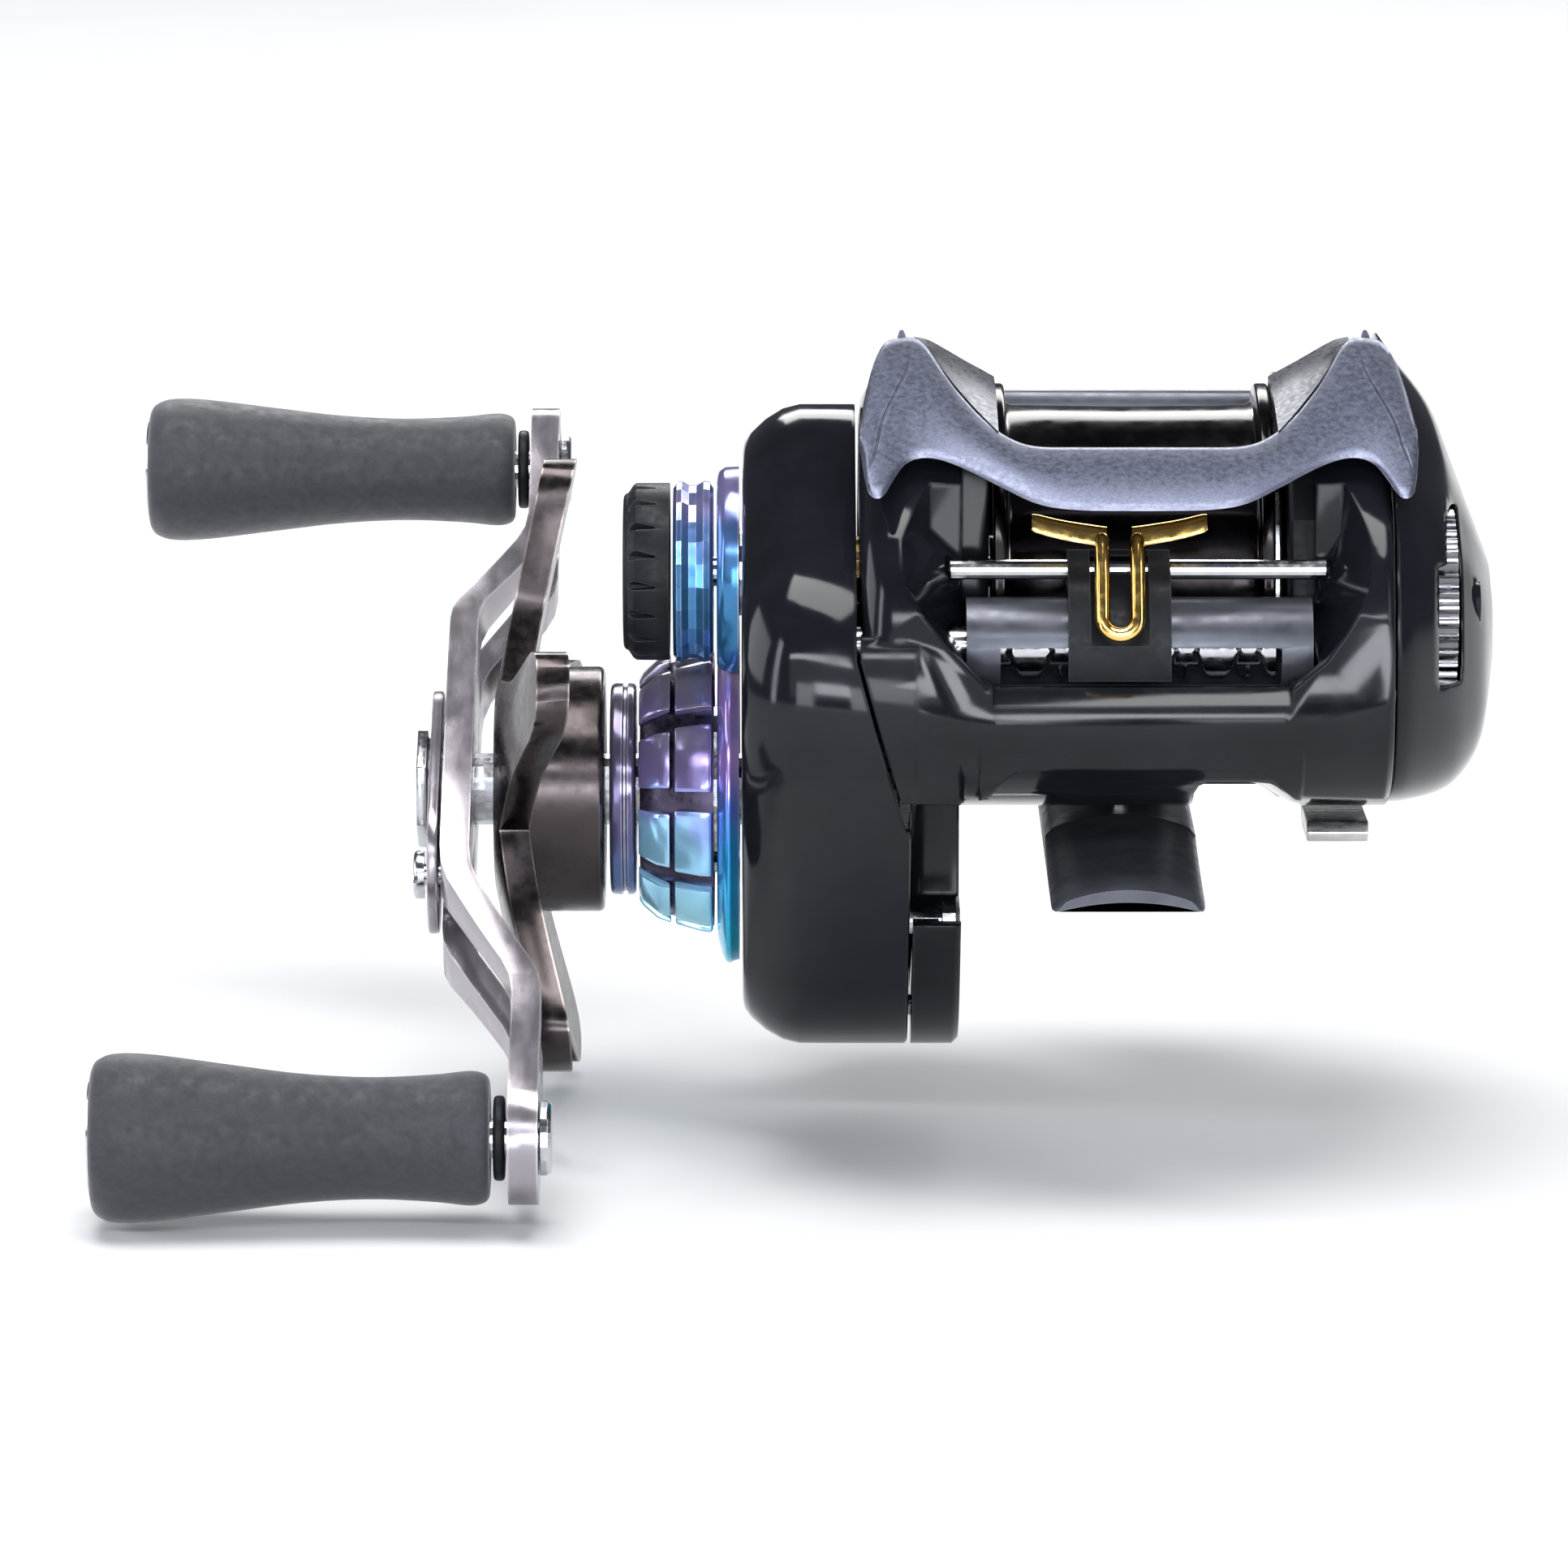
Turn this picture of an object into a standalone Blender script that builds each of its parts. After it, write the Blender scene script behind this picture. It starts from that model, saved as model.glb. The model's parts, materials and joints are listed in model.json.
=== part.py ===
"""A low-profile baitcasting fishing reel, right-hand wind, as an assembly of separate pieces.

Frame: +X points to the palm side, -Y to the line-guide end, +Z up. The origin is the crown of the
saddle under the reel foot. The lengths below are millimetres, and the helpers turn them to metres.
"""

from math import acos, atan2, cos, hypot, pi, radians, sin, sqrt

import bmesh
import bpy
from mathutils import Matrix, Vector
from mathutils.geometry import convex_hull_2d

MM = 0.001
GAP = 0.3  # clearance between neighbouring pieces

# Driving dimensions
MODULE = 0.5  # of every gear
DRIVE_TEETH, PINION_TEETH = 70, 10
WIND_TEETH, IDLER_TEETH, COG_TEETH = 24, 40, 20
SPOOL_AXIS = (0.0, 21.2)  # y, z
DRIVE_BACK = 5.0  # how far the drive axis lies behind the spool axis
GEAR_CENTRES = MODULE * (DRIVE_TEETH + PINION_TEETH) / 2
DRIVE_AXIS = (DRIVE_BACK, SPOOL_AXIS[1] - sqrt(GEAR_CENTRES**2 - DRIVE_BACK**2))
WORM_AXIS = (-19.9, 18.9)
ROD_AXIS = (-19.4, 25.0)
TILT_AXIS = (-25.0, 20.8)  # on which the line guide tips back
GUIDE_FOOT, GUIDE_LEAN, GUIDE_TILT = (-25.9, 20.9), 29.0, 14.0  # y, z of its foot, and degrees
GUIDE_MIDDLE, WIRE_BEND, WIRE_R = -0.7, 1.42, 0.62
DIAL_AXIS, DIAL_R = (-10.4, 20.3), 8.0
FLANGE_R, DRUM_R = 15.5, 13.7
FLANGE_LEFT, FLANGE_RIGHT = -9.9, 12.2
WALL_LEFT, WALL_RIGHT = -10.9, 12.9  # inner faces of the frame's side walls
PAN_OUT, PAN_IN = -17.0, -13.1  # the frame's gear-side flange
SHOULDER_OUT, SHOULDER_BOTTOM = -21.4, 20.3  # the frame's gear-side shoulder
PALM_SEAM = 21.1
COVER_IN, COVER_OUT, COVER_WALL = -17.3, -30.9, 1.5
HOOD_MIDDLE, HOOD_RISE, HOOD_AT_ZERO, HOOD_THICK = 1.0, 0.514, 43.55, 2.0
SHAFT_R = 3.0
ARM_TO_KNOB, ARM_END, ARM_THICK = 44.0, 49.3, 2.4
HANDLE_DIRECTION = (0.889, 0.457)  # y, z of the arm's far half at rest
STAR_DIRECTION = (0.208, 0.978)
STAR_ARMS, STAR_R = 5, 27.5
TEETH_X = (-27.2, -24.0)
WIND_X = (-20.4, -18.6)
FOOT_HALF_WIDTH, FOOT_HALF_LENGTH, SADDLE_DROP = 6.15, 30.0, 0.9
FOOT_HOLES = (-5.0, 5.0)  # y of its two screws
SCREW_R, SCREW_HEAD_R, GUARD_R, ROD_R = 0.9, 1.8, 3.9, 0.8
SHAFT_END_R, GUARD_SLOT = 2.0, 2.1

FINISHES = {  # colour, roughness, metallic
    "gloss_black": ((0.006, 0.007, 0.010), 0.10, 0.0),
    "satin_slate": ((0.105, 0.115, 0.165), 0.36, 0.7),
    "satin_black": ((0.014, 0.015, 0.020), 0.40, 0.2),
    "grip_rubber": ((0.046, 0.049, 0.064), 0.70, 0.0),
    "gunmetal": ((0.075, 0.064, 0.070), 0.30, 1.0),
    "dark_bronze": ((0.034, 0.027, 0.026), 0.28, 1.0),
    "heat_blue": ((0.05, 0.28, 0.75), 0.18, 1.0),
    "heat_violet": ((0.20, 0.14, 0.50), 0.22, 1.0),
    "gold": ((0.86, 0.50, 0.11), 0.16, 1.0),
    "steel": ((0.55, 0.55, 0.57), 0.20, 1.0),
    "brass": ((0.66, 0.47, 0.18), 0.30, 1.0),
    "aluminium": ((0.70, 0.69, 0.67), 0.32, 1.0),
    "black_plastic": ((0.020, 0.021, 0.024), 0.45, 0.0),
    "carbon": ((0.018, 0.018, 0.019), 0.55, 0.0),
}


# --- helpers ---------------------------------------------------------------------------------------


def clear_scene():
    for obj in list(bpy.data.objects):
        bpy.data.objects.remove(obj, do_unlink=True)


def finish_of(obj, name):
    """Gives the object a material of its own in one of the finishes."""
    colour, roughness, metallic = FINISHES[name]
    material = bpy.data.materials.new(obj.name + "_" + name)
    material.use_nodes = True
    shader = material.node_tree.nodes["Principled BSDF"]
    shader.inputs["Base Color"].default_value = (*colour, 1.0)
    shader.inputs["Roughness"].default_value = roughness
    shader.inputs["Metallic"].default_value = metallic
    material.diffuse_color = (*colour, 1.0)
    obj.data.materials.append(material)


def solid(name, bm, finish=None, axis=None):
    """Turns a bmesh in world millimetres into an object. Its origin is on the axis (y, z) along X."""
    bmesh.ops.recalc_face_normals(bm, faces=bm.faces)
    origin = Vector((0.0, *axis)) if axis else Vector()
    to_local = Matrix.Scale(MM, 4) @ Matrix.Translation(-origin)
    bmesh.ops.transform(bm, matrix=to_local, verts=bm.verts)
    mesh = bpy.data.meshes.new(name)
    bm.to_mesh(mesh)
    bm.free()
    obj = bpy.data.objects.new(name, mesh)
    obj.location = origin * MM
    bpy.context.scene.collection.objects.link(obj)
    if finish:
        finish_of(obj, finish)
        mesh.shade_smooth()
        mesh.set_sharp_from_angle(angle=radians(32))
    return obj


def loft(name, loops, finish=None, axis=None):
    """A closed solid through loops of (x, y, z) points that all have the same count."""
    bm = bmesh.new()
    rings = [[bm.verts.new(point) for point in loop] for loop in loops]
    for ring, following in zip(rings, rings[1:]):
        for i in range(len(ring)):
            j = (i + 1) % len(ring)
            bm.faces.new((ring[i], ring[j], following[j], following[i]))
    bm.faces.new(rings[0][::-1])
    bm.faces.new(rings[-1])
    return solid(name, bm, finish, axis)


def plate_x(name, outline, x0, x1, finish=None, axis=None):
    """An outline of (y, z) points extruded along X."""
    return loft(name, [[(x, y, z) for y, z in outline] for x in (x0, x1)], finish, axis)


def plate_y(name, outline, y0, y1, finish=None):
    """An outline of (x, z) points extruded along Y."""
    return loft(name, [[(x, y, z) for x, z in outline] for y in (y0, y1)], finish)


def block(name, low, high, finish=None):
    (x0, y0, z0), (x1, y1, z1) = low, high
    return plate_x(name, [(y0, z0), (y1, z0), (y1, z1), (y0, z1)], x0, x1, finish)


def turned(name, profile, axis, finish=None, steps=20, ring=False):
    """(x, radius) points turned about the line along X through axis. A ring's profile is a loop."""
    bm = bmesh.new()
    points = [bm.verts.new((x, axis[0], axis[1] + radius)) for x, radius in profile]
    pairs = list(zip(points, points[1:])) + ([(points[-1], points[0])] if ring else [])
    edges = [bm.edges.new(pair) for pair in pairs]
    bmesh.ops.spin(
        bm, geom=points + edges, cent=(0, *axis), axis=(1, 0, 0), angle=2 * pi,
        steps=steps, use_merge=True
    )
    bmesh.ops.remove_doubles(bm, verts=bm.verts, dist=1e-4)
    return solid(name, bm, finish, axis)


def rod(name, x0, x1, radius, axis, finish=None, steps=16, chamfer=0.0):
    profile = [(x0, 0.0), (x0, radius - chamfer), (x0 + chamfer, radius)]
    profile += [(x1 - chamfer, radius), (x1, radius - chamfer), (x1, 0.0)]
    if not chamfer:
        profile = [(x0, 0.0), (x0, radius), (x1, radius), (x1, 0.0)]
    return turned(name, profile, axis, finish, steps)


def washer(name, x0, x1, inner, outer, axis, finish=None, steps=20, chamfer=0.0):
    profile = [(x0, inner), (x0, outer - chamfer), (x0 + chamfer, outer)]
    profile += [(x1 - chamfer, outer), (x1, outer - chamfer), (x1, inner)]
    if not chamfer:
        profile = [(x0, inner), (x0, outer), (x1, outer), (x1, inner)]
    return turned(name, profile, axis, finish, steps, ring=True)


def boolean(obj, other, operation):
    other.hide_render = True
    other.display_type = "WIRE"
    modifier = obj.modifiers.new(operation.title() + "_" + other.name, "BOOLEAN")
    modifier.operation = operation
    modifier.solver = "EXACT"
    modifier.object = other


def cut(obj, *cutters):
    for cutter in cutters:
        boolean(obj, cutter, "DIFFERENCE")


def join(obj, *pieces):
    for piece in pieces:
        boolean(obj, piece, "UNION")


def bore(obj, x0, x1, radius, axis, steps=16):
    """Drills the object along X."""
    cut(obj, rod("bore_in_" + obj.name, x0, x1, radius, axis, steps=steps))


def smooth_loop(points, steps=2):
    """A closed Catmull-Rom curve through the points."""
    found = []
    count = len(points)
    for i in range(count):
        a, b, c, d = (Vector(points[(i + k) % count]) for k in (-1, 0, 1, 2))
        for step in range(steps):
            t = step / steps
            point = 2 * b + (c - a) * t + (2 * a - 5 * b + 4 * c - d) * t * t
            found.append(tuple((point + (3 * b - a - 3 * c + d) * t**3) / 2))
    return found


def hull(circles, steps=30):
    """The belt round some (y, z, radius) circles."""
    points = []
    for y, z, radius in circles:
        for i in range(steps):
            angle = 2 * pi * i / steps
            points.append((y + radius * cos(angle), z + radius * sin(angle)))
    return [points[i] for i in convex_hull_2d(points)]


def box_of(outline):
    lows = [min(point[k] for point in outline) for k in (0, 1)]
    highs = [max(point[k] for point in outline) for k in (0, 1)]
    return lows, highs


def section(outline, x, y_range, z_range):
    """The (y, z) outline stretched to fill these ranges, as a loop at x."""
    lows, highs = box_of(outline)
    loop = []
    for y, z in outline:
        across = (y - lows[0]) / (highs[0] - lows[0])
        up = (z - lows[1]) / (highs[1] - lows[1])
        moved_y = y_range[0] + across * (y_range[1] - y_range[0])
        loop.append((x, moved_y, z_range[0] + up * (z_range[1] - z_range[0])))
    return loop


def gear_outline(teeth, axis, phase=0.0):
    """A stub-tooth gear, with a tooth centred on the angle phase."""
    pitch_r = MODULE * teeth / 2
    levels = ((-0.36, -0.46), (-0.22, 0.30), (0.22, 0.30), (0.36, -0.46))
    outline = []
    for tooth in range(teeth):
        for along, up in levels:
            angle = phase + 2 * pi * tooth / teeth + along * pi * MODULE * 0.78 / pitch_r
            radius = pitch_r + up
            outline.append((axis[0] + radius * cos(angle), axis[1] + radius * sin(angle)))
    return outline


def meshing_phase(teeth, axis, other_teeth, other_axis, other_phase):
    """The phase at which this gear's gaps take the other gear's teeth."""
    line = atan2(axis[1] - other_axis[1], axis[0] - other_axis[0])
    pitch = 2 * pi / other_teeth
    offset = (other_phase - line) % pitch
    return line + pi + pi / teeth - offset * other_teeth / teeth


def gear(name, teeth, axis, x0, x1, bore_r, phase, finish):
    made = plate_x(name, gear_outline(teeth, axis, phase), x0, x1, finish, axis)
    bore(made, x0 - 1, x1 + 1, bore_r, axis)
    return made


def idler_centre():
    """Where the idler reaches both the gear on the drive shaft and the cog on the worm."""
    to_drive = MODULE * (WIND_TEETH + IDLER_TEETH) / 2
    to_worm = MODULE * (COG_TEETH + IDLER_TEETH) / 2
    dy, dz = WORM_AXIS[0] - DRIVE_AXIS[0], WORM_AXIS[1] - DRIVE_AXIS[1]
    span = hypot(dy, dz)
    angle = atan2(dz, dy) + acos((to_drive**2 + span**2 - to_worm**2) / (2 * to_drive * span))
    return DRIVE_AXIS[0] + to_drive * cos(angle), DRIVE_AXIS[1] + to_drive * sin(angle)


IDLER_AXIS = idler_centre()

# Outlines in the (y, z) plane
BODY_SIDE = smooth_loop(
    [
        (2, 37.1), (-8, 36.1), (-16, 32.6), (-23, 28.4), (-27.0, 22.0), (-28.2, 15.5), (-27.2, 10.5),
        (-22.5, 6.6), (-13, 3.9), (0, 3.3), (10, 4.0), (18, 9.0), (22.5, 17.0), (22.0, 27.0), (13, 35.0),
    ]
)  # fmt: skip
GEAR_CIRCLES = ((*DRIVE_AXIS, 21.2), (*SPOOL_AXIS, 13.8), (-16.2, 14.8, 12.0))
GEAR_SIDE = hull(GEAR_CIRCLES)
SCREW_SPOTS = ((22.6, 8.0), (5.0, -16.6), (-12.6, -5.6))


def hood_top(y):
    return HOOD_AT_ZERO + HOOD_RISE * y


# --- frame, foot and hood --------------------------------------------------------------------------


def make_frame():
    frame = plate_x("main_frame", BODY_SIDE, SHOULDER_OUT, WALL_LEFT, "gloss_black")
    cut(frame, block("gear_room", (-30, -40, -40), (PAN_OUT + 0.2, 40, SHOULDER_BOTTOM)))
    pan = plate_x("frame_pan", GEAR_SIDE, PAN_OUT, PAN_IN)
    palm = plate_x("frame_palm_wall", BODY_SIDE, WALL_RIGHT, PALM_SEAM)
    join(frame, pan, palm, cheek(), front_bar(), floor_bar(), rear_bar())
    opening = [(-13.2, 17.0), (-13.2, 45), (15.2, 45), (15.2, 17.0)]
    cut(frame, plate_y("window_for_levelwind", opening, -25.6, -10), window_mouth())
    cut(frame, nose_facet("nose_left", -1), nose_facet("nose_right", 1), drain())
    bore(frame, WALL_RIGHT - 2, PALM_SEAM + 2, FLANGE_R + 0.7, SPOOL_AXIS, 32)
    bore(frame, -30, WALL_LEFT + 1, 5.0, SPOOL_AXIS)
    bore(frame, -30, WALL_LEFT + 1, 2.0, WORM_AXIS)
    bore(frame, -30, PAN_OUT, 5.6, WORM_AXIS, 24)
    bore(frame, -14.6, 16.4, ROD_R + GAP, ROD_AXIS)
    bore(frame, -13.1, 15.1, GUARD_R + GAP, WORM_AXIS)
    bore(frame, PAN_OUT - 1, -12, 4.0, DRIVE_AXIS)
    for spot in SCREW_SPOTS:
        bore(frame, PAN_OUT - 1, -12, SCREW_R + GAP, spot)
        bore(frame, -14.9, -12, SCREW_HEAD_R + GAP, spot)
    for y in FOOT_HOLES:
        cut(frame, upright("frame_foot_hole", (0.0, y), 2.0, 6.0, SCREW_R + GAP))
    return frame


def upright(name, spot, z0, z1, radius, finish=None, steps=16):
    """A round pin along Z."""
    loops = []
    for z in (z0, z1):
        angles = [2 * pi * i / steps for i in range(steps)]
        loops.append([(spot[0] + radius * cos(a), spot[1] + radius * sin(a), z) for a in angles])
    return loft(name, loops, finish)


def cheek_room(name, grow, front, back):
    """The slanted room, in front view, that the frame's cheek fills. grow widens it by a clearance."""
    out, low = SHOULDER_OUT - grow, 4.6 - grow
    outline = [(out, 20.8), (out, 19.0), (-17.4 - grow, low), (5.0, low), (5.0, 20.8)]
    return plate_y(name, outline, front, back)


def cheek():
    """The front wall that the frame carries on below its shoulder, flush with the gear cover."""
    wall = loft("frame_cheek", [shell_section(x, 0.1) for x in (SHOULDER_OUT - 2, PAN_OUT + 1)])
    cut(wall, loft("cheek_inside", [shell_section(x, COVER_WALL) for x in (-28, -10)]))
    boolean(wall, cheek_room("cheek_limits", 0.0, -40, -20.0), "INTERSECT")
    return wall


def window_mouth():
    """The octagonal funnel before the window. Its upper sides stay wide, to clear the guide's wings."""
    wide = [(-11.2, 16.8), (-14.2, 19.8), (-18.2, 25.3), (-19.5, 29.0), (-19.5, 45.0)]
    wide += [(20.3, 45.0), (20.3, 29.0), (18.9, 24.0), (15.6, 19.0), (12.9, 16.8)]
    narrow = [(-11.4, 16.8), (-13.0, 19.1), (-13.0, 25.3), (-15.8, 27.9), (-15.8, 45.0)]
    narrow += [(17.4, 45.0), (17.4, 27.9), (15.0, 24.0), (15.0, 19.2), (13.2, 16.8)]
    loops = []
    for y, outline in ((-40, wide), (-25.5, wide), (-17.8, narrow)):
        loops.append([(x, y, z) for x, z in outline])
    return loft("window_mouth", loops)


def nose_facet(name, side):
    """Slices the face of the body off aslant, outside one lower corner of the window."""
    middle, top, below = 0.85, 26.0, 1.0
    face, ahead, back_per_height = -28.1, -40.0, 0.2
    loops = []
    for out, low in ((11.6, 14.3), (24.0, 17.5)):
        x = middle + side * out
        near, far = face - back_per_height * below, face + back_per_height * (top - low)
        loops.append([(x, near, low - below), (x, far, top), (x, ahead, top), (x, ahead, low - below)])
    return loft(name, loops)


def drain():
    """The hollow under the frame on the palm side of the foot."""
    low, slope = 3.5, -0.21
    outline = [(5.4, -9.0), (5.4, 0.0), (11.4, 0.0), (14.0, -1.7), (14.0, -9.0)]
    return loft("drain", [[(x, y, low + slope * y + z) for x, z in outline] for y in (-40, 0)])


def front_bar():
    outline = [
        (-24.4, 16.5), (-26.1, 16.7), (-27.8, 15.5), (-28.2, 14.2), (-28.0, 12.0), (-26.6, 8.6),
        (-22.5, 6.3), (-13, 3.9), (-10, 3.6), (-4, 3.6), (-4, 4.8), (-7, 6.0), (-10, 7.4), (-15.8, 10.6),
        (-20.5, 12.9), (-23.2, 14.6),
    ]  # fmt: skip
    return plate_x("front_bar", outline, WALL_LEFT - 1, WALL_RIGHT + 1)


def floor_bar():
    return block("floor_bar", (WALL_LEFT - 1, -11, 3.3), (WALL_RIGHT + 1, 9, 5.0))


def rear_bar():
    outline = [(8, 3.6), (11, 4.3), (18, 9.0), (20.6, 13.5), (18.2, 14.0), (14.6, 9.6), (8, 5.0)]
    return plate_x("rear_bar", outline, WALL_LEFT - 1, WALL_RIGHT + 1)


def make_foot():
    """A tongue each way with a saddle arched underneath, whose crown is the one flat facet."""
    facets = 9
    across = [-FOOT_HALF_WIDTH + 2 * FOOT_HALF_WIDTH * i / facets for i in range(facets + 1)]
    crown = FOOT_HALF_WIDTH / facets
    radius = (FOOT_HALF_WIDTH**2 + SADDLE_DROP**2) / (2 * SADDLE_DROP)
    drop = sqrt(radius**2 - crown**2)
    under = [(x, sqrt(radius**2 - x**2) - drop) for x in across]
    loops = []
    half_rises = ((9, 2.9), (14, 2.2), (24, 1.4), (FOOT_HALF_LENGTH, 1.1))
    rises = [(-y, rise) for y, rise in half_rises[::-1]] + list(half_rises)
    for y, rise in rises:
        over = [(x, z + rise - 0.5 * (x / FOOT_HALF_WIDTH) ** 2) for x, z in under[::-1]]
        loops.append([(x, y, z) for x, z in under + over])
    foot = loft("reel_foot", loops, "satin_black")
    for i, y in enumerate(FOOT_HOLES):
        cut(foot, upright("foot_hole", (0.0, y), -2, 6, SCREW_R + GAP))
        cut(foot, upright("foot_countersink", (0.0, y), -2, 0.8 + GAP, 1.7 + GAP))
        screw = upright(f"foot_screw_{i + 1}", (0.0, y), 0.2, 4.2, SCREW_R, "steel")
        join(screw, upright("foot_screw_head", (0.0, y), -0.1, 0.8, 1.7))


def half_hood():
    """Right half of the hood's front view as (distance from its middle, z)."""
    top = [(0, 35.0), (8.3, 35.0), (11.7, 36.3), (14.5, 38.3), (16.3, 40.4)]
    ear = [(16.8, 41.5), (18.4, 41.8), (20.2, 41.6), (21.5, 39.6), (22.4, 36.6)]
    foot = [(22.3, 33.4), (21.6, 31.8), (20.6, 31.8), (20.0, 33.2)]
    lip = [(18.4, 34.0), (15.3, 34.0), (11.1, 32.2), (7.2, 31.2), (0, 31.0)]
    return top + ear + foot + lip


def make_hood():
    half = half_hood()
    outline = [(HOOD_MIDDLE + x, z) for x, z in half]
    outline += [(HOOD_MIDDLE - x, z) for x, z in half[-2:0:-1]]
    hood = plate_y("front_hood", outline, -40, 10, "satin_slate")
    sheet = [(-25.4, hood_top(-25.4)), (-3.4, hood_top(-3.4)), (2.0, 41.9), (3.0, 39.4)]
    sheet += [(-3.4, hood_top(-3.4) - HOOD_THICK), (-25.4, hood_top(-25.4) - HOOD_THICK)]
    boolean(hood, plate_x("hood_sheet", sheet, -30, 30), "INTERSECT")
    for side in (-1, 1):
        flank = [(16.0, 38.6), (11.7, 37.6), (11.7, 38.2), (16.9, 40.6), (18.5, 40.6), (18.5, 38.6)]
        flank = [(HOOD_MIDDLE + side * x, z) for x, z in flank]
        join(hood, plate_y("ear_flank", flank, -4.5, 2.2))
    return hood


def make_worm_guard():
    """A tube round the worm, open below the front for the pawl."""
    guard = washer("worm_guard", WALL_LEFT - 2.0, 14.8, 3.2, GUARD_R, WORM_AXIS, "satin_black")
    below = radians(25)
    towards = (-cos(below), -sin(below))
    side = (-towards[1], towards[0])
    slot = []
    for along, across in ((0.0, -GUARD_SLOT), (6.0, -GUARD_SLOT), (6.0, GUARD_SLOT), (0.0, GUARD_SLOT)):
        slot.append(tuple(WORM_AXIS[k] + along * towards[k] + across * side[k] for k in (0, 1)))
    cut(guard, plate_x("guard_slot", slot, -10.2, 12.3))
    return guard


# --- gear side -------------------------------------------------------------------------------------


def shell_section(x, inset, outline=GEAR_SIDE):
    lows, highs = box_of(outline)
    return section(outline, x, (lows[0] + inset, highs[0] - inset), (lows[1] + inset, highs[1] - inset))


def make_gear_cover():
    steps = ((COVER_IN, 0.0), (-26.6, 0.0), (COVER_OUT, 3.0))
    cover = loft("gear_side_cover", [shell_section(x, inset) for x, inset in steps], "gloss_black")
    inside = ((COVER_IN + 1, COVER_WALL), (-26.0, COVER_WALL), (COVER_OUT + COVER_WALL, 3.6))
    cut(cover, loft("cover_inside", [shell_section(x, inset) for x, inset in inside]))
    notch = (SHOULDER_OUT - GAP, -40, SHOULDER_BOTTOM - GAP)
    cut(cover, block("cover_notch", notch, (0, 40, 50)))
    cut(cover, cheek_room("cheek_notch", GAP, -41, -20.0 + GAP))
    for spot in SCREW_SPOTS:
        join(cover, rod("cover_boss", COVER_IN - 0.2, -21.0, 2.0, spot))
    for spot in SCREW_SPOTS:
        bore(cover, -19.6, -16.0, SCREW_R + GAP, spot)
    bore(cover, -33, -28, 7.3, DRIVE_AXIS)
    bore(cover, -33, -28, 3.7 + GAP, SPOOL_AXIS)
    return cover


def make_cover_screws():
    """Three screws, whose heads lie in the frame's pan."""
    shank = [(-19.2, 0.0), (-19.2, SCREW_R), (-14.6, SCREW_R)]
    head = [(-14.6, SCREW_HEAD_R), (-13.5, SCREW_HEAD_R), (-13.2, 1.5), (-13.2, 0.0)]
    for i, (y, z) in enumerate(SCREW_SPOTS):
        screw = turned(f"cover_screw_{i + 1}", shank + head, (y, z), "steel", 14)
        cut(screw, block("screw_slot", (-13.8, y - 3, z - 0.25), (-12, y + 3, z + 0.25)))


def make_drive_stack():
    """The fixed rings round the drive shaft, from the cover outwards."""
    ring = [(-33.0, 8.6), (-33.0, 12.4), (-32.6, 14.0), (-32.2, 14.5), (-31.2, 14.5), (-31.2, 8.6)]
    turned("accent_ring", ring, DRIVE_AXIS, "heat_blue", 32, ring=True)
    cone = [(-39.5, 9.3), (-39.0, 9.9), (-38.0, 10.8), (-34.4, 11.9), (-33.3, 12.0)]
    cone += [(-33.3, 8.2), (-38.8, 7.3), (-38.8, 5.0), (-39.5, 5.0)]
    turned("clutch_cone", cone, DRIVE_AXIS, "heat_violet", 28, ring=True)
    washer("bearing_collar", -41.9, -39.8, SHAFT_R + 0.5, 8.8, DRIVE_AXIS, "heat_violet", 24, 0.3)
    washer("anti_reverse_bearing", -38.5, -31.5, SHAFT_R + GAP, 7.0, DRIVE_AXIS, "steel")
    washer("drive_shaft_bearing", -16.7, -13.4, SHAFT_END_R + GAP, 3.7, DRIVE_AXIS, "steel", 16)


def make_set_plate():
    circles = ((*DRIVE_AXIS, 7.0), (*IDLER_AXIS, 4.5), (*WORM_AXIS, 3.2))
    plate = plate_x("set_plate", hull(circles, 24), -18.1, -17.3, "aluminium")
    bore(plate, -19, -16, SHAFT_R + GAP, DRIVE_AXIS)
    bore(plate, -19, -16, 1.3, IDLER_AXIS)
    bore(plate, -19, -16, 2.0, WORM_AXIS)
    rod("idler_pin", -21.2, -17.3, 1.0, IDLER_AXIS, "steel", 16, 0.2)


def make_train():
    """The three level-wind gears and the drive gear with its pinion, in phase."""
    drive_phase = atan2(SPOOL_AXIS[1] - DRIVE_AXIS[1], SPOOL_AXIS[0] - DRIVE_AXIS[0])
    gear("drive_gear", DRIVE_TEETH, DRIVE_AXIS, *TEETH_X, SHAFT_R + GAP, drive_phase, "brass")
    make_pinion(meshing_phase(PINION_TEETH, SPOOL_AXIS, DRIVE_TEETH, DRIVE_AXIS, drive_phase))
    gear("levelwind_gear", WIND_TEETH, DRIVE_AXIS, *WIND_X, SHAFT_R + GAP, 0.0, "brass")
    phase = meshing_phase(IDLER_TEETH, IDLER_AXIS, WIND_TEETH, DRIVE_AXIS, 0.0)
    gear("idler_gear", IDLER_TEETH, IDLER_AXIS, *WIND_X, 1.3, phase, "black_plastic")
    phase = meshing_phase(COG_TEETH, WORM_AXIS, IDLER_TEETH, IDLER_AXIS, phase)
    gear("worm_cog", COG_TEETH, WORM_AXIS, *WIND_X, 1.9, phase, "black_plastic")


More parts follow.
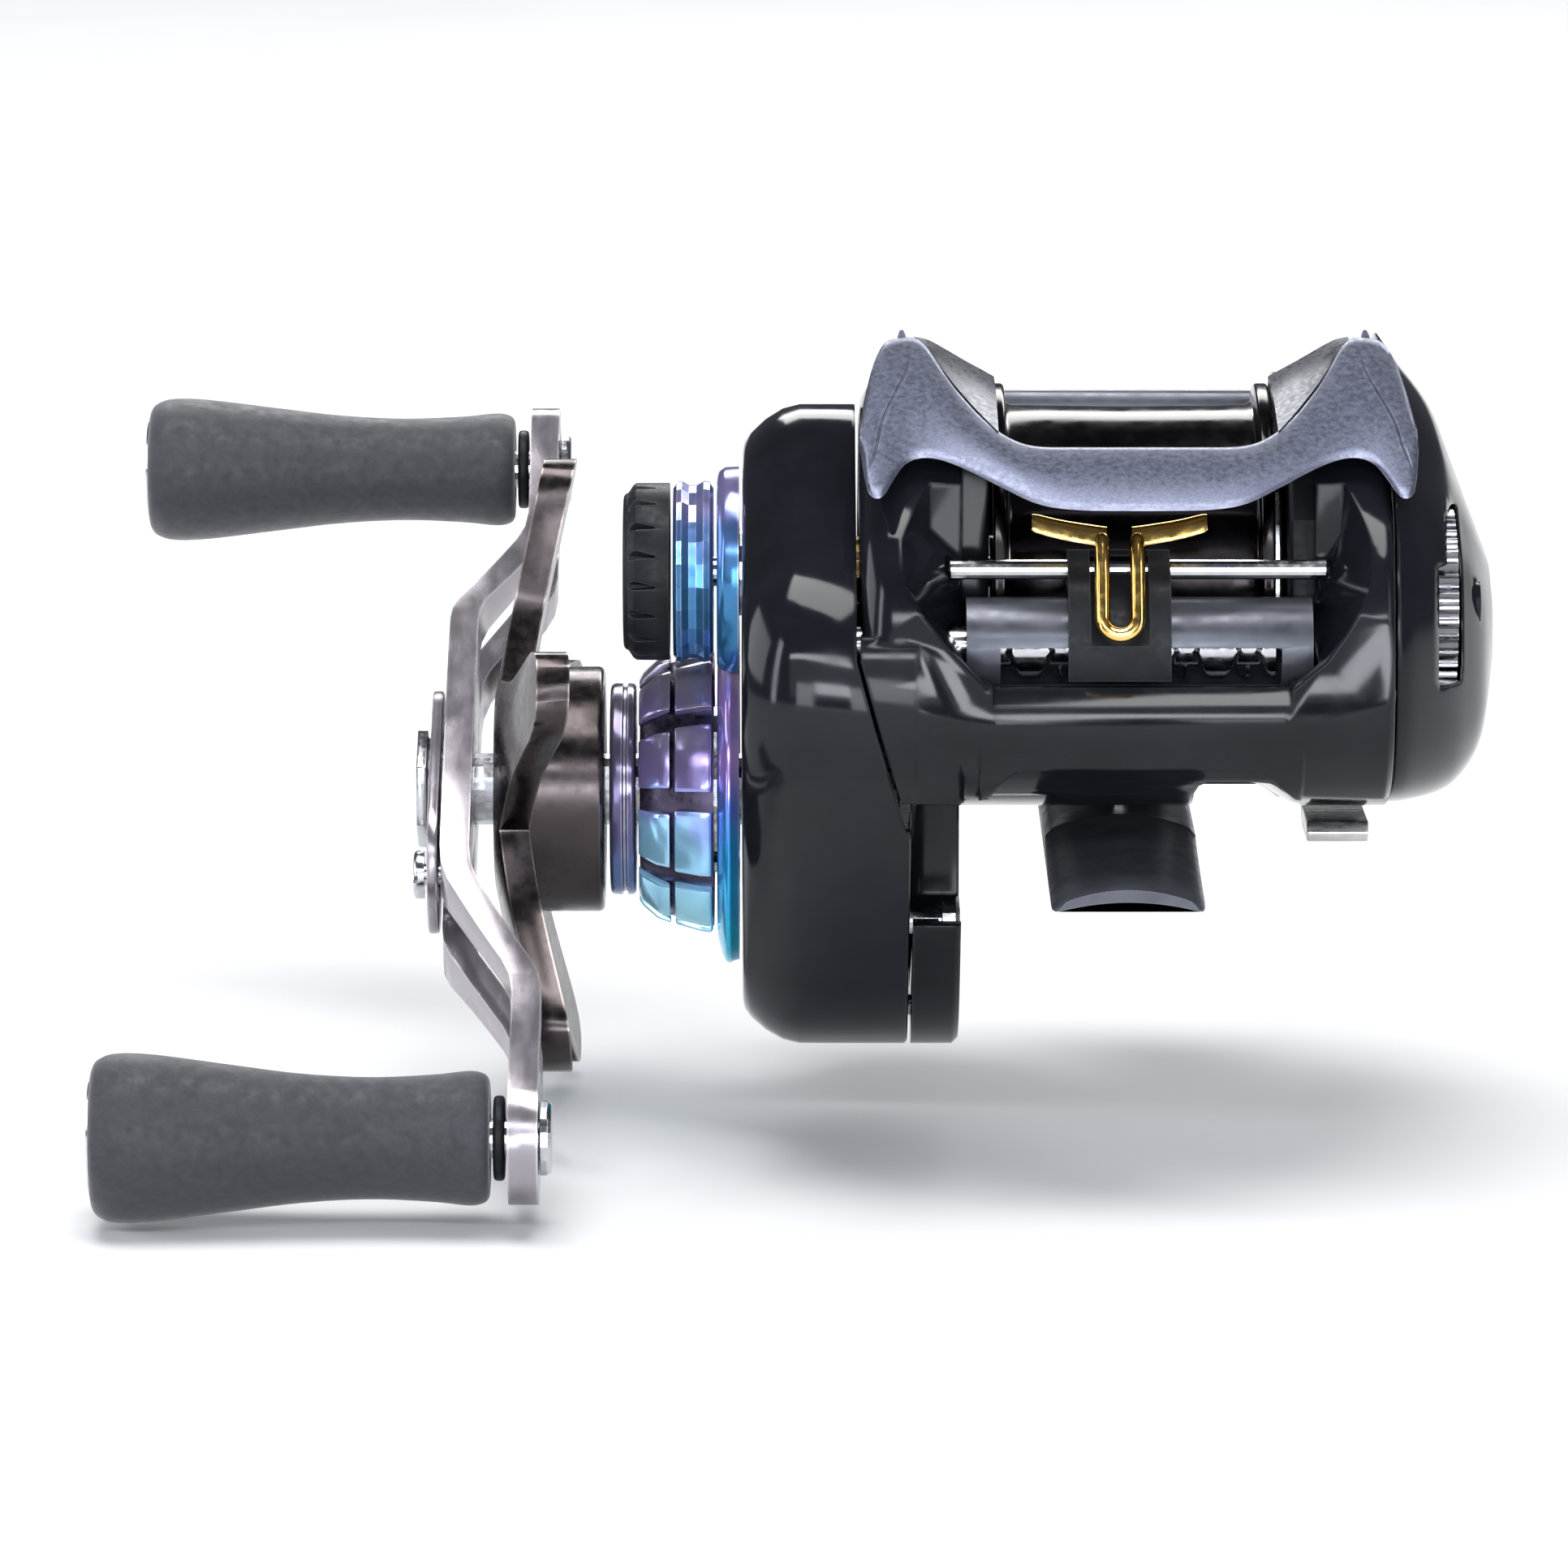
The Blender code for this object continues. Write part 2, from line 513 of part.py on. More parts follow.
def make_pinion(phase):
    teeth = gear_outline(PINION_TEETH, SPOOL_AXIS, phase)
    pinion = plate_x("pinion_gear", teeth, -28.2, -23.6, "brass", SPOOL_AXIS)
    neck = [(-24.0, 0.0), (-24.0, 1.95), (-21.9, 1.95), (-21.9, 2.9), (-20.9, 2.9), (-20.9, 2.4)]
    join(pinion, turned("pinion_neck", neck + [(-11.2, 2.4), (-11.2, 0.0)], SPOOL_AXIS, steps=24))
    bore(pinion, -29, -10, 1.6, SPOOL_AXIS)
    washer("pinion_bearing", -15.0, -12.4, 2.4 + GAP, 4.7, SPOOL_AXIS, "steel", 16)
    yoke = block("pinion_yoke", (-23.3, -8.5, 20.6), (-22.2, 8.5, 27.0), "black_plastic")
    bore(yoke, -24, -21, 1.95 + GAP, SPOOL_AXIS)
    cut(yoke, block("yoke_mouth", (-24, -2.25, 19), (-21, 2.25, 21.2)))
    for y in (-6.2, 6.2):
        bore(yoke, -24, -21, 1.1, (y, 24.6), 16)


def make_drag_stack():
    washer("drag_washer", -28.1, -27.5, SHAFT_R + GAP, 13.0, DRIVE_AXIS, "carbon")
    washer("pressure_plate", -29.0, -28.4, SHAFT_R + GAP, 12.5, DRIVE_AXIS, "steel")
    shaft = [(-57.2, 0.0), (-57.2, 2.7), (-56.9, SHAFT_R), (-17.3, SHAFT_R), (-17.3, SHAFT_END_R)]
    shaft.append((-13.6, SHAFT_END_R))
    turned("drive_shaft", shaft + [(-13.6, 0.0)], DRIVE_AXIS, "steel", 18)


# --- handle ----------------------------------------------------------------------------------------


def arm_point(along, across):
    """(y, z) of a point on the arm, along it from the drive axis towards the far knob."""
    y, z = HANDLE_DIRECTION
    return DRIVE_AXIS[0] + along * y - across * z, DRIVE_AXIS[1] + along * z + across * y


def arm_prism(name, outline, x0, x1, finish=None):
    return plate_x(name, [arm_point(*point) for point in outline], x0, x1, finish, DRIVE_AXIS)


def rounded_bar(half_lengths, half_width, steps=8):
    """A bar with round ends between two places along the arm, as (along, across) points."""
    low, high = half_lengths
    points = []
    for end, first in ((high, -pi / 2), (low, pi / 2)):
        for i in range(steps + 1):
            angle = first + pi * i / steps
            points.append((end + half_width * cos(angle), half_width * sin(angle)))
    return points


def make_arm():
    """A blade bent towards the reel between its hub and its ends, with two long windows."""
    ends = rounded_bar((-ARM_TO_KNOB, ARM_TO_KNOB), ARM_END - ARM_TO_KNOB)
    arm = arm_prism("handle_arm", ends, -60, -44, "gunmetal")
    hub = [
        (-24, -5.0), (-10, -7.2), (10, -7.2), (24, -5.0),
        (24, 5.0), (10, 7.2), (-10, 7.2), (-24, 5.0),
    ]
    join(arm, arm_prism("arm_hub", hub, -60, -44))
    hub_x, end_x = -55.6, -49.4
    bend = [(ARM_END + 1, end_x), (29.0, end_x), (17.0, hub_x)]
    bend += [(-along, x) for along, x in bend[::-1]]
    loops = []
    for across in (-10, 10):
        outer = [(x, *arm_point(along, across)) for along, x in bend]
        inner = [(x + ARM_THICK, *arm_point(along, across)) for along, x in bend[::-1]]
        loops.append(outer + inner)
    boolean(arm, loft("arm_bend", loops), "INTERSECT")
    for side in (-1, 1):
        places = sorted((side * 14.5, side * 34.0))
        cut(arm, arm_prism("arm_window", rounded_bar(places, 2.3), -60, -44))
        bore(arm, -60, -44, 1.6 + GAP, arm_point(side * ARM_TO_KNOB, 0))
    bore(arm, -60, -44, SHAFT_R + GAP, DRIVE_AXIS)
    return arm


def make_handle_nut():
    hexagon = [(5.0 * cos(pi * k / 3), 5.0 * sin(pi * k / 3)) for k in range(6)]
    nut = arm_prism("handle_nut", hexagon, -58.0, -57.1, "gunmetal")
    join(nut, washer("nut_skirt", -57.3, -55.9, SHAFT_R + 0.1, 4.2, DRIVE_AXIS))
    bore(nut, -60, -50, SHAFT_R + GAP, DRIVE_AXIS)
    retainer = arm_prism("nut_retainer", rounded_bar((-9.6, 3.6), 5.9), -56.8, -55.9, "gunmetal")
    bore(retainer, -60, -50, 4.5, DRIVE_AXIS)
    spot = arm_point(-11.2, 0)
    bore(retainer, -60, -50, SCREW_R + GAP, spot)
    bore(bpy.data.objects["handle_arm"], -60, -50, SCREW_R + GAP, spot)
    head = [(-58.0, 0.0), (-58.0, 1.6), (-57.7, 2.0), (-57.1, 2.0)]
    shank = [(-57.1, SCREW_R), (-53.4, SCREW_R), (-53.4, 0.0)]
    screw = turned("retainer_screw", head + shank, spot, "steel", 14)
    low, high = (-59, spot[0] - 3, spot[1] - 0.3), (-57.6, spot[0] + 3, spot[1] + 0.3)
    cut(screw, block("retainer_slot", low, high))


def make_knob(name, side, squeeze):
    """An oval grip on its pin. squeeze is the grip's depth and height as shares of a round one's."""
    axis = arm_point(side * ARM_TO_KNOB, 0)
    profile = [
        (-82.6, 0.0), (-82.6, 5.6), (-82.1, 6.3), (-80.6, 6.8), (-77.5, 6.7), (-71.5, 5.9), (-66, 5.2),
        (-60.5, 4.9), (-55.5, 5.1), (-52.6, 5.4), (-51.4, 5.2), (-50.9, 4.5), (-50.9, 0.0),
    ]  # fmt: skip
    grip = turned("grip_" + name, profile, axis, "grip_rubber", 18)
    for vertex in grip.data.vertices:
        vertex.co.y *= squeeze[0]
        vertex.co.z *= squeeze[1]
    bore(grip, -81.4, -50, 1.6 + GAP, axis, 16)
    bore(grip, -84, -81.8, 4.3 + GAP, axis, 24)
    rod("grip_cap_" + name, -83.1, -82.1, 4.3, axis, "gloss_black", 18, 0.3)
    washer("grip_collar_" + name, -50.6, -49.7, 1.6 + GAP, 3.4, axis, "black_plastic", 18)
    pin = [
        (-81.0, 0.0), (-81.0, 1.6), (-46.9, 1.6), (-46.9, 3.0),
        (-46.3, 3.0), (-46.0, 2.7), (-46.0, 0.0),
    ]
    turned("knob_pin_" + name, pin, axis, "steel", 16)


def star_outline():
    """Five arms with round tips on a round web, as (y, z) points about the drive axis."""
    heading = atan2(STAR_DIRECTION[1], STAR_DIRECTION[0])
    half = ((11.0, 28.0), (14.5, 16.5), (19.0, 11.5), (25.2, 7.6), (27.0, 4.5), (STAR_R, 0.0))
    lobe = [(radius, -degrees) for radius, degrees in half] + [(r, d) for r, d in half[-2::-1]]
    outline = []
    for arm in range(STAR_ARMS):
        for radius, degrees in lobe:
            angle = heading + 2 * pi * arm / STAR_ARMS + radians(degrees)
            outline.append((DRIVE_AXIS[0] + radius * cos(angle), DRIVE_AXIS[1] + radius * sin(angle)))
    return outline


def make_star():
    """The arms follow a dish that leans towards the reel, and the hub runs in to the collar."""
    star = plate_x("star_drag", star_outline(), -55, -40, "dark_bronze", DRIVE_AXIS)
    dish = [(-51.5, 0.0), (-51.5, 9.0), (-46.9, 30.0), (-44.2, 30.0), (-48.6, 10.2), (-48.6, 0.0)]
    boolean(star, turned("star_dish", dish, DRIVE_AXIS, steps=30), "INTERSECT")
    join(star, rod("star_hub", -49.5, -42.3, 10.2, DRIVE_AXIS, steps=30, chamfer=0.4))
    bore(star, -53, -40, SHAFT_R + GAP, DRIVE_AXIS)
    return star


# --- spool, brake and palm side --------------------------------------------------------------------


def make_spool():
    profile = [
        (FLANGE_LEFT, FLANGE_R), (-8.9, FLANGE_R), (-8.7, 14.0), (-8.3, DRUM_R), (10.5, DRUM_R),
        (10.9, 14.0), (11.1, FLANGE_R), (FLANGE_RIGHT, FLANGE_R), (FLANGE_RIGHT, 14.7), (11.5, 12.7),
        (-3.6, 12.5), (-4.4, 11.6), (-4.4, 3.4), (2.0, 3.0), (2.0, 1.55), (-10.6, 1.55), (-10.6, 3.0),
        (-6.4, 3.6), (-6.4, 12.2), (FLANGE_LEFT, 14.6),
    ]  # fmt: skip
    turned("spool", profile, SPOOL_AXIS, "dark_bronze", 30, ring=True)
    rod("spool_shaft", -33.6, 17.4, 1.25, SPOOL_AXIS, "steel", 20, 0.2)
    rotor = [(2.4, 1.55), (2.4, 8.2), (2.7, 8.9), (11.0, 8.9), (11.0, 8.2), (3.3, 8.2), (3.3, 1.55)]
    turned("brake_rotor", rotor, SPOOL_AXIS, "aluminium", 24, ring=True)
    washer("spool_bearing_left", -31.2, -29.7, 1.25 + GAP, 3.7, SPOOL_AXIS, "steel", 16)
    washer("spool_bearing_right", 14.8, 17.0, 1.25 + GAP, 3.7, SPOOL_AXIS, "steel", 16)


def make_brake():
    plate = [
        (13.3, 4.0), (13.3, 15.6), (13.6, 15.9), (17.4, 15.9), (17.4, 14.7), (14.5, 14.7), (14.5, 5.3),
        (17.4, 5.0), (17.4, 4.0),
    ]  # fmt: skip
    turned("brake_plate", plate, SPOOL_AXIS, "black_plastic", 28, ring=True)
    washer("brake_ring", 4.6, 13.0, 9.9, 11.4, SPOOL_AXIS, "steel", 24, 0.2)
    knurl = []
    bumps = 30
    for i in range(2 * bumps):
        angle = pi * i / bumps
        radius = DIAL_R - 0.35 * (i % 2)
        knurl.append((DIAL_AXIS[0] + radius * cos(angle), DIAL_AXIS[1] + radius * sin(angle)))
    dial = plate_x("brake_dial", knurl, 25.2, 26.8, "steel", DIAL_AXIS)
    bore(dial, 20, 30, 2.3, DIAL_AXIS)


def palm_sections():
    """x, depth and height of the cover's outline, from its seam outwards."""
    return (
        (PALM_SEAM + GAP, (-25.5, 22.6), (3.6, 40.4)), (22.8, (-24.4, 21.9), (3.6, 38.4)),
        (25.6, (-20.6, 19.6), (3.9, 34.6)), (27.6, (-17.0, 16.8), (5.0, 29.6)),
        (29.4, (-12.4, 13.0), (7.6, 25.0)), (30.5, (-6.0, 7.5), (13.0, 22.0)),
    )  # fmt: skip


def make_palm_cover():
    sections = palm_sections()
    cover = loft("palm_side_cover", [section(BODY_SIDE, *values) for values in sections], "gloss_black")
    wall = 1.6
    inner = []
    for x, (front, back), (low, high) in sections[:-1]:
        depths, heights = (front + wall, back - wall), (low + wall, high - wall)
        inner.append(section(BODY_SIDE, x - wall, depths, heights))
    cut(cover, loft("palm_inside", inner))
    cut(cover, rod("dial_pocket", 24.9, 27.1, DIAL_R + GAP, DIAL_AXIS))
    cut(cover, block("dial_slot", (25.0, -30, 15.6), (27.0, -14, 25.0)))
    under = [(y, hood_top(y) - HOOD_THICK - GAP) for y in (-40, -3.4)]
    under += [(3.3, 39.1), (3.3, 60), (-40, 60)]
    cut(cover, plate_x("ear_clearance", under, 20, HOOD_MIDDLE + 22.4 + GAP))
    join(cover, rod("dial_post", 24.4, 29.0, 2.0, DIAL_AXIS))
    return cover


def make_release_tab():
    outline = [(-14.0, 1.5), (-6.0, 1.2), (-5.0, 1.9), (-5.0, 2.8), (-14.0, 3.2), (-14.6, 2.3)]
    return plate_x("release_tab", outline, 15.0, 20.0, "aluminium", (-5.6, 2.0))


def make_thumb_bar():
    outline = [(16.2, 31.4), (17.6, 33.4), (19.4, 32.6), (23.2, 27.4), (24.0, 24.6), (22.4, 23.6)]
    outline.append((20.2, 26.8))
    return plate_x("thumb_bar", outline, -10.3, 12.3, "satin_black")


# --- level wind ------------------------------------------------------------------------------------


def make_level_wind():
    worm = [
        (-22.0, 0.0), (-22.0, 1.5), (-10.6, 1.5), (-10.3, 2.7), (12.0, 2.7), (12.3, 1.3), (14.2, 1.3),
        (14.2, 0.0),
    ]  # fmt: skip
    turned("worm_shaft", worm, WORM_AXIS, "steel", 18)
    rod("guide_rod", -14.3, 16.1, ROD_R, ROD_AXIS, "steel", 16, 0.15)
    outline = [
        (-25.2, 17.0), (-25.2, 20.4), (-23.9, 23.2), (-22.4, 24.9), (-20.3, 26.05), (-19.4, 26.6),
        (-18.2, 26.4), (-17.2, 25.2), (-17.6, 21.8), (-22.0, 18.0),
    ]  # fmt: skip
    carriage = plate_x("levelwind_carriage", outline, -4.8, 3.4, "black_plastic")
    bore(carriage, -10, 10, GUARD_R + GAP, WORM_AXIS, 24)
    bore(carriage, -10, 10, ROD_R + GAP, ROD_AXIS)
    cut(carriage, tilt_groove())
    return carriage


def tilt_groove():
    """The room in the carriage that the guide's wire leans back into, along the tilted guide's plane."""
    lean = radians(GUIDE_LEAN + GUIDE_TILT)
    depth = WIRE_R + 2 * GAP
    outline = []
    for up, behind in ((-1.0, depth), (12.0, depth), (12.0, -6.0), (-1.0, -6.0)):
        y = GUIDE_FOOT[0] + up * sin(lean) + behind * cos(lean)
        outline.append((y, GUIDE_FOOT[1] + up * cos(lean) - behind * sin(lean)))
    half = WIRE_BEND + WIRE_R + GAP
    return plate_x("tilt_groove", outline, GUIDE_MIDDLE - half, GUIDE_MIDDLE + half)


def guide_plane(up, ahead=0.0):
    """(y, z) of a point on the line guide's leaning plane, up it from its foot."""
    lean = radians(GUIDE_LEAN)
    y = GUIDE_FOOT[0] + up * sin(lean) - ahead * cos(lean)
    return y, GUIDE_FOOT[1] + up * cos(lean) - ahead * sin(lean)


def make_line_guide():
    """A wire bent to a U below, whose two ends carry a wing each, all in one leaning plane."""
    top = 8.6
    curve = bpy.data.curves.new("line_guide", "CURVE")
    curve.dimensions = "3D"
    curve.bevel_depth = WIRE_R * MM
    curve.bevel_resolution = 2
    curve.use_fill_caps = True
    route = [(GUIDE_MIDDLE - WIRE_BEND, top)]
    for i in range(9):
        angle = pi + pi * i / 8
        route.append((GUIDE_MIDDLE + WIRE_BEND * cos(angle), WIRE_BEND + WIRE_BEND * sin(angle)))
    route.append((GUIDE_MIDDLE + WIRE_BEND, top))
    spline = curve.splines.new("POLY")
    spline.points.add(len(route) - 1)
    for point, (x, up) in zip(spline.points, route):
        point.co = (x * MM, *(value * MM for value in guide_plane(up)), 1.0)
    wire = bpy.data.objects.new("guide_wire", curve)
    bpy.context.scene.collection.objects.link(wire)
    bpy.context.view_layer.update()
    mesh = bpy.data.meshes.new_from_object(wire)
    bpy.data.objects.remove(wire)
    guide = bpy.data.objects.new("line_guide", mesh)
    origin = Vector((0.0, *TILT_AXIS)) * MM
    mesh.transform(Matrix.Translation(-origin))
    guide.location = origin
    bpy.context.scene.collection.objects.link(guide)
    finish_of(guide, "gold")
    mesh.shade_smooth()
    for side in (-1, 1):
        corners = ((1.0, 7.75), (7.0, 9.0), (7.0, 10.0), (1.0, 8.9))
        loops = []
        for ahead in (-0.45, 0.45):
            loops.append([(GUIDE_MIDDLE + side * x, *guide_plane(up, ahead)) for x, up in corners])
        join(guide, loft("guide_wing", loops))
    return guide


def make_cast_control():
    cap = [(-40.7, 0.0), (-40.7, 6.4), (-40.0, 7.3), (-36.9, 7.3), (-36.9, 0.0)]
    turned("cast_cap", cap, SPOOL_AXIS, "black_plastic", 24)
    ring = [(-36.6, 0.0), (-36.6, 7.0), (-36.1, 7.5), (-33.8, 7.5), (-33.3, 7.0), (-33.3, 3.0)]
    ring += [(-34.4, 3.0), (-34.4, 0.0)]
    turned("cast_ring", ring, SPOOL_AXIS, "heat_blue", 24)
    seat = [
        (-33.0, 3.0), (-33.0, 8.2), (-32.6, 8.66), (-31.2, 8.66),
        (-31.2, 4.4), (-31.5, 4.4), (-31.5, 3.0),
    ]
    made = turned("cast_seat", seat, SPOOL_AXIS, "heat_blue", 28, ring=True)
    bore(made, -35, -29, 14.5 + GAP, DRIVE_AXIS, 32)


def main():
    clear_scene()
    make_frame()
    make_foot()
    make_hood()
    make_worm_guard()
    make_gear_cover()
    make_cover_screws()
    make_drive_stack()
    make_set_plate()
    make_train()
    make_drag_stack()
    make_arm()
    make_handle_nut()
    make_knob("near", -1, (0.88, 1.0))
    make_knob("far", 1, (1.0, 0.9))
    make_star()
    make_spool()
    make_brake()
    make_palm_cover()
    make_release_tab()
    make_thumb_bar()
    make_level_wind()
    make_line_guide()
    make_cast_control()


main()
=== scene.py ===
"""The looks of the baitcasting reel: fine surfaces, materials, floor, light and camera round its frame.

Lengths are millimetres in the frame's own axes: +X to the palm side, -Y to the line guide, +Z up.
"""

import json
from math import atan2, cos, pi, radians, sin, sqrt

import bmesh
import bpy
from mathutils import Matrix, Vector
from mathutils.geometry import convex_hull_2d

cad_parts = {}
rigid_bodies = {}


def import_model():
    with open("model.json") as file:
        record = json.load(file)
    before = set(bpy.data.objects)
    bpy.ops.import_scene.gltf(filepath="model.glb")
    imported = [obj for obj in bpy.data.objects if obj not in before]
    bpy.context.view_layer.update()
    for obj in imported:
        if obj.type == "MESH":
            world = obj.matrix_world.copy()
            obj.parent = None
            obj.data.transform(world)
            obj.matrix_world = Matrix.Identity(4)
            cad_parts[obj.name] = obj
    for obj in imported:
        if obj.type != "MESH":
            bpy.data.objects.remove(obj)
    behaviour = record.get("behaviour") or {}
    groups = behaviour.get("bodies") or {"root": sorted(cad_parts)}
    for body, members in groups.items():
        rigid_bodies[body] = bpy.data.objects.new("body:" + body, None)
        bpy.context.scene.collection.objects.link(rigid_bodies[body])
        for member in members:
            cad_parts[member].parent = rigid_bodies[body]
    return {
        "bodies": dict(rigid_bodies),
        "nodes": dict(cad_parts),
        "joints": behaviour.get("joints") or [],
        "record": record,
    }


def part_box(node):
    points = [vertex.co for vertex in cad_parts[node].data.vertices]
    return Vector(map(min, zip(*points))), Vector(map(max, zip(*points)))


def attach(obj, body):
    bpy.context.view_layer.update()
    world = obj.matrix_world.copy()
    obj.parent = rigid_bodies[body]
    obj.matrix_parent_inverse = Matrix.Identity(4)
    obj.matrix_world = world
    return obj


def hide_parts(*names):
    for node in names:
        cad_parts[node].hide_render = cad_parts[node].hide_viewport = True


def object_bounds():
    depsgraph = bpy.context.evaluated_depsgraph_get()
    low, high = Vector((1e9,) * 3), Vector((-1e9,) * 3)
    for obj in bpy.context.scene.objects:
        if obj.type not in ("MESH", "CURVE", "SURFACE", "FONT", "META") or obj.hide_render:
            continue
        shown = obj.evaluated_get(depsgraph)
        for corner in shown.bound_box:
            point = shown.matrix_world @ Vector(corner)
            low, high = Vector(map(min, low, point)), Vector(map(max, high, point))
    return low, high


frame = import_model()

MM = 0.001
WAVE_SCALE = 0.314  # a wave texture at this scale has one ridge per unit
CAD_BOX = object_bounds()


def span(node, axis):
    """The lowest and highest value of a CAD node along an axis, in millimetres."""
    low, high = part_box(node)
    return low[axis] / MM, high[axis] / MM


def centre_of(node):
    """(y, z) of the middle of a CAD node that is round about X."""
    low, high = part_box(node)
    return (low.y + high.y) / 2 / MM, (low.z + high.z) / 2 / MM


DRIVE = centre_of("drive_shaft")
SPOOL = centre_of("spool")
WORM = centre_of("worm_shaft")
ROD = centre_of("guide_rod")
DIAL = centre_of("brake_dial")
NEAR, FAR = centre_of("knob_pin_near"), centre_of("knob_pin_far")


# --- materials ---


class Look:
    """A procedural material: colour, roughness and bump each come from noise at a real scale."""

    def __init__(self, name, colour, rough, metal=0):
        self.material = bpy.data.materials.new(name)
        self.material.use_nodes = True
        self.tree = self.material.node_tree
        self.shader = self.tree.nodes["Principled BSDF"]
        self.colour = colour
        self.set("Metallic", metal)
        self.set("Roughness", rough)
        self.set("Base Color", (*colour, 1))
        self.where = self.node("ShaderNodeTexCoord").outputs["Object"]
        self.normal = None
        self.tint = None

    def node(self, kind, sockets=(), **settings):
        """A node with these settings. sockets pairs its inputs with values or with other nodes' outputs."""
        made = self.tree.nodes.new(kind)
        for key, value in settings.items():
            setattr(made, key, value)
        for key, value in dict(sockets).items():
            self.feed(made.inputs[key], value)
        return made

    def feed(self, socket, value):
        if isinstance(value, bpy.types.NodeSocket):
            self.tree.links.new(value, socket)
        else:
            socket.default_value = value

    def set(self, name, value):
        self.feed(self.shader.inputs[name], value)
        return self

    def noise(self, size_mm, detail=3, stretch=None, rough=0.55):
        """Noise whose features are about size_mm wide. stretch squeezes an axis to make streaks."""
        where = self.where
        if stretch:
            where = self.node("ShaderNodeMapping", {"Scale": stretch, "Vector": where}).outputs["Vector"]
        sockets = {"Scale": 1 / (size_mm * MM), "Detail": detail, "Roughness": rough, "Vector": where}
        return self.node("ShaderNodeTexNoise", sockets).outputs["Fac"]

    def ranged(self, factor, low, high, from_low=0.35, from_high=0.65):
        sockets = {"Value": factor, "From Min": from_low, "From Max": from_high, "To Min": low, "To Max": high}
        return self.node("ShaderNodeMapRange", sockets).outputs["Result"]

    def roughness(self, low, high, size_mm, **how):
        return self.set("Roughness", self.ranged(self.noise(size_mm, **how), low, high))

    def blotches(self, other, size_mm, low=0, high=1, **how):
        """Mixes the colour so far towards another in noise patches."""
        return self.mix(self.ranged(self.noise(size_mm, **how), low, high), other)

    def mix(self, factor, other):
        base = (*self.colour, 1) if self.tint is None else self.tint
        sockets = {"Factor": factor, "A": base, "B": (*other, 1)}
        self.tint = self.node("ShaderNodeMix", sockets, data_type="RGBA").outputs["Result"]
        return self.set("Base Color", self.tint)

    def rounded_normal(self, radius_mm, samples):
        """The normal as it would be with every edge rounded."""
        rounded = self.node("ShaderNodeBevel", {"Radius": radius_mm * MM}, samples=samples)
        return rounded.outputs["Normal"]

    def rounded_edges(self, radius_mm):
        """Turns the shading a little at each edge, so that it catches the light like thick paint."""
        self.normal = self.rounded_normal(radius_mm, 6)
        return self

    def edges(self, other, radius_mm=0.25, low=0.004, high=0.06, patch_mm=1.5, least=0.35):
        """Lightens the edges, partly as wear and partly as painted highlight where rounded edges catch the
        lamps: where a rounded normal leaves the real one, broken up by noise.
        """
        flat = self.node("ShaderNodeNewGeometry").outputs["Normal"]
        normals = {0: self.rounded_normal(radius_mm, 4), 1: flat}
        dot = self.node("ShaderNodeVectorMath", normals, operation="DOT_PRODUCT")
        wear_and_highlight = self.ranged(dot.outputs["Value"], 1, 0, 1 - high, 1 - low)
        patch = self.ranged(self.noise(patch_mm), least, 1)
        both = self.node("ShaderNodeMath", {0: wear_and_highlight, 1: patch}, operation="MULTIPLY")
        return self.mix(both.outputs["Value"], other)

    def bump(self, factor, depth_mm):
        sockets = {"Distance": depth_mm * MM, "Height": factor}
        if self.normal is not None:
            sockets["Normal"] = self.normal
        self.normal = self.node("ShaderNodeBump", sockets).outputs["Normal"]
        return self.set("Normal", self.normal)

    def grain(self, size_mm, depth_mm, **how):
        return self.bump(self.noise(size_mm, **how), depth_mm)

    def wave(self, pitch_mm, depth_mm, where, distortion=0, **settings):
        """Ridges pitch_mm apart."""
        sockets = {"Scale": WAVE_SCALE / (pitch_mm * MM), "Distortion": distortion, "Vector": where}
        return self.bump(self.node("ShaderNodeTexWave", sockets, **settings).outputs["Fac"], depth_mm)

    def rings(self, axis, pitch_mm, depth_mm):
        """Fine lathe marks round an axis (y, z) that runs along X."""
        sockets = {"Location": (0, -axis[0] * MM, -axis[1] * MM), "Vector": self.where}
        where = self.node("ShaderNodeMapping", sockets).outputs["Vector"]
        return self.wave(pitch_mm, depth_mm, where, 0.4, wave_type="RINGS", rings_direction="X")


def gloss_black():
    look = Look("gloss_black", (0.005, 0.0056, 0.0078), 0.09)
    look.set("Specular IOR Level", 0.27)
    look.blotches((0.0085, 0.0095, 0.013), 9)
    look.roughness(0.06, 0.14, 4, detail=6)
    return look.rounded_edges(0.45).grain(1.6, 0.001).grain(0.12, 0.0003)


def satin_slate():
    look = Look("satin_slate", (0.095, 0.103, 0.15), 0.34, 0.75)
    look.blotches((0.125, 0.136, 0.19), 0.22, detail=1).edges((0.24, 0.25, 0.32), 0.3)
    look.roughness(0.28, 0.42, 0.5, detail=5)
    return look.grain(0.09, 0.0015).grain(3, 0.003)


# A darker copy of the hood's satin slate: painted shade, for the walls inside the ears that sit in shadow.
def slate_painted_shade():
    look = Look("slate_painted_shade", (0.034, 0.037, 0.052), 0.36, 0.7)
    look.blotches((0.046, 0.05, 0.068), 0.22, detail=1)
    look.roughness(0.24, 0.38, 0.5, detail=5)
    return look.grain(0.09, 0.0012)


def satin_black():
    look = Look("satin_black", (0.085, 0.089, 0.108), 0.34, 0.6)
    look.blotches((0.105, 0.11, 0.13), 2.5).edges((0.13, 0.135, 0.155), 0.2, least=0.7)
    look.roughness(0.28, 0.42, 1.5, detail=6)
    return look.grain(0.16, 0.003)


def grip_rubber():
    look = Look("grip_rubber", (0.024, 0.024, 0.029), 0.62)
    look.set("Sheen Weight", 0.25).set("Sheen Roughness", 0.45).set("Specular IOR Level", 0.4)
    look.blotches((0.034, 0.034, 0.041), 0.6, detail=6).blotches((0.02, 0.02, 0.024), 14, 0, 0.5)
    look.roughness(0.5, 0.72, 1.1, detail=8)
    return look.grain(0.24, 0.022, detail=6).grain(1.3, 0.012)


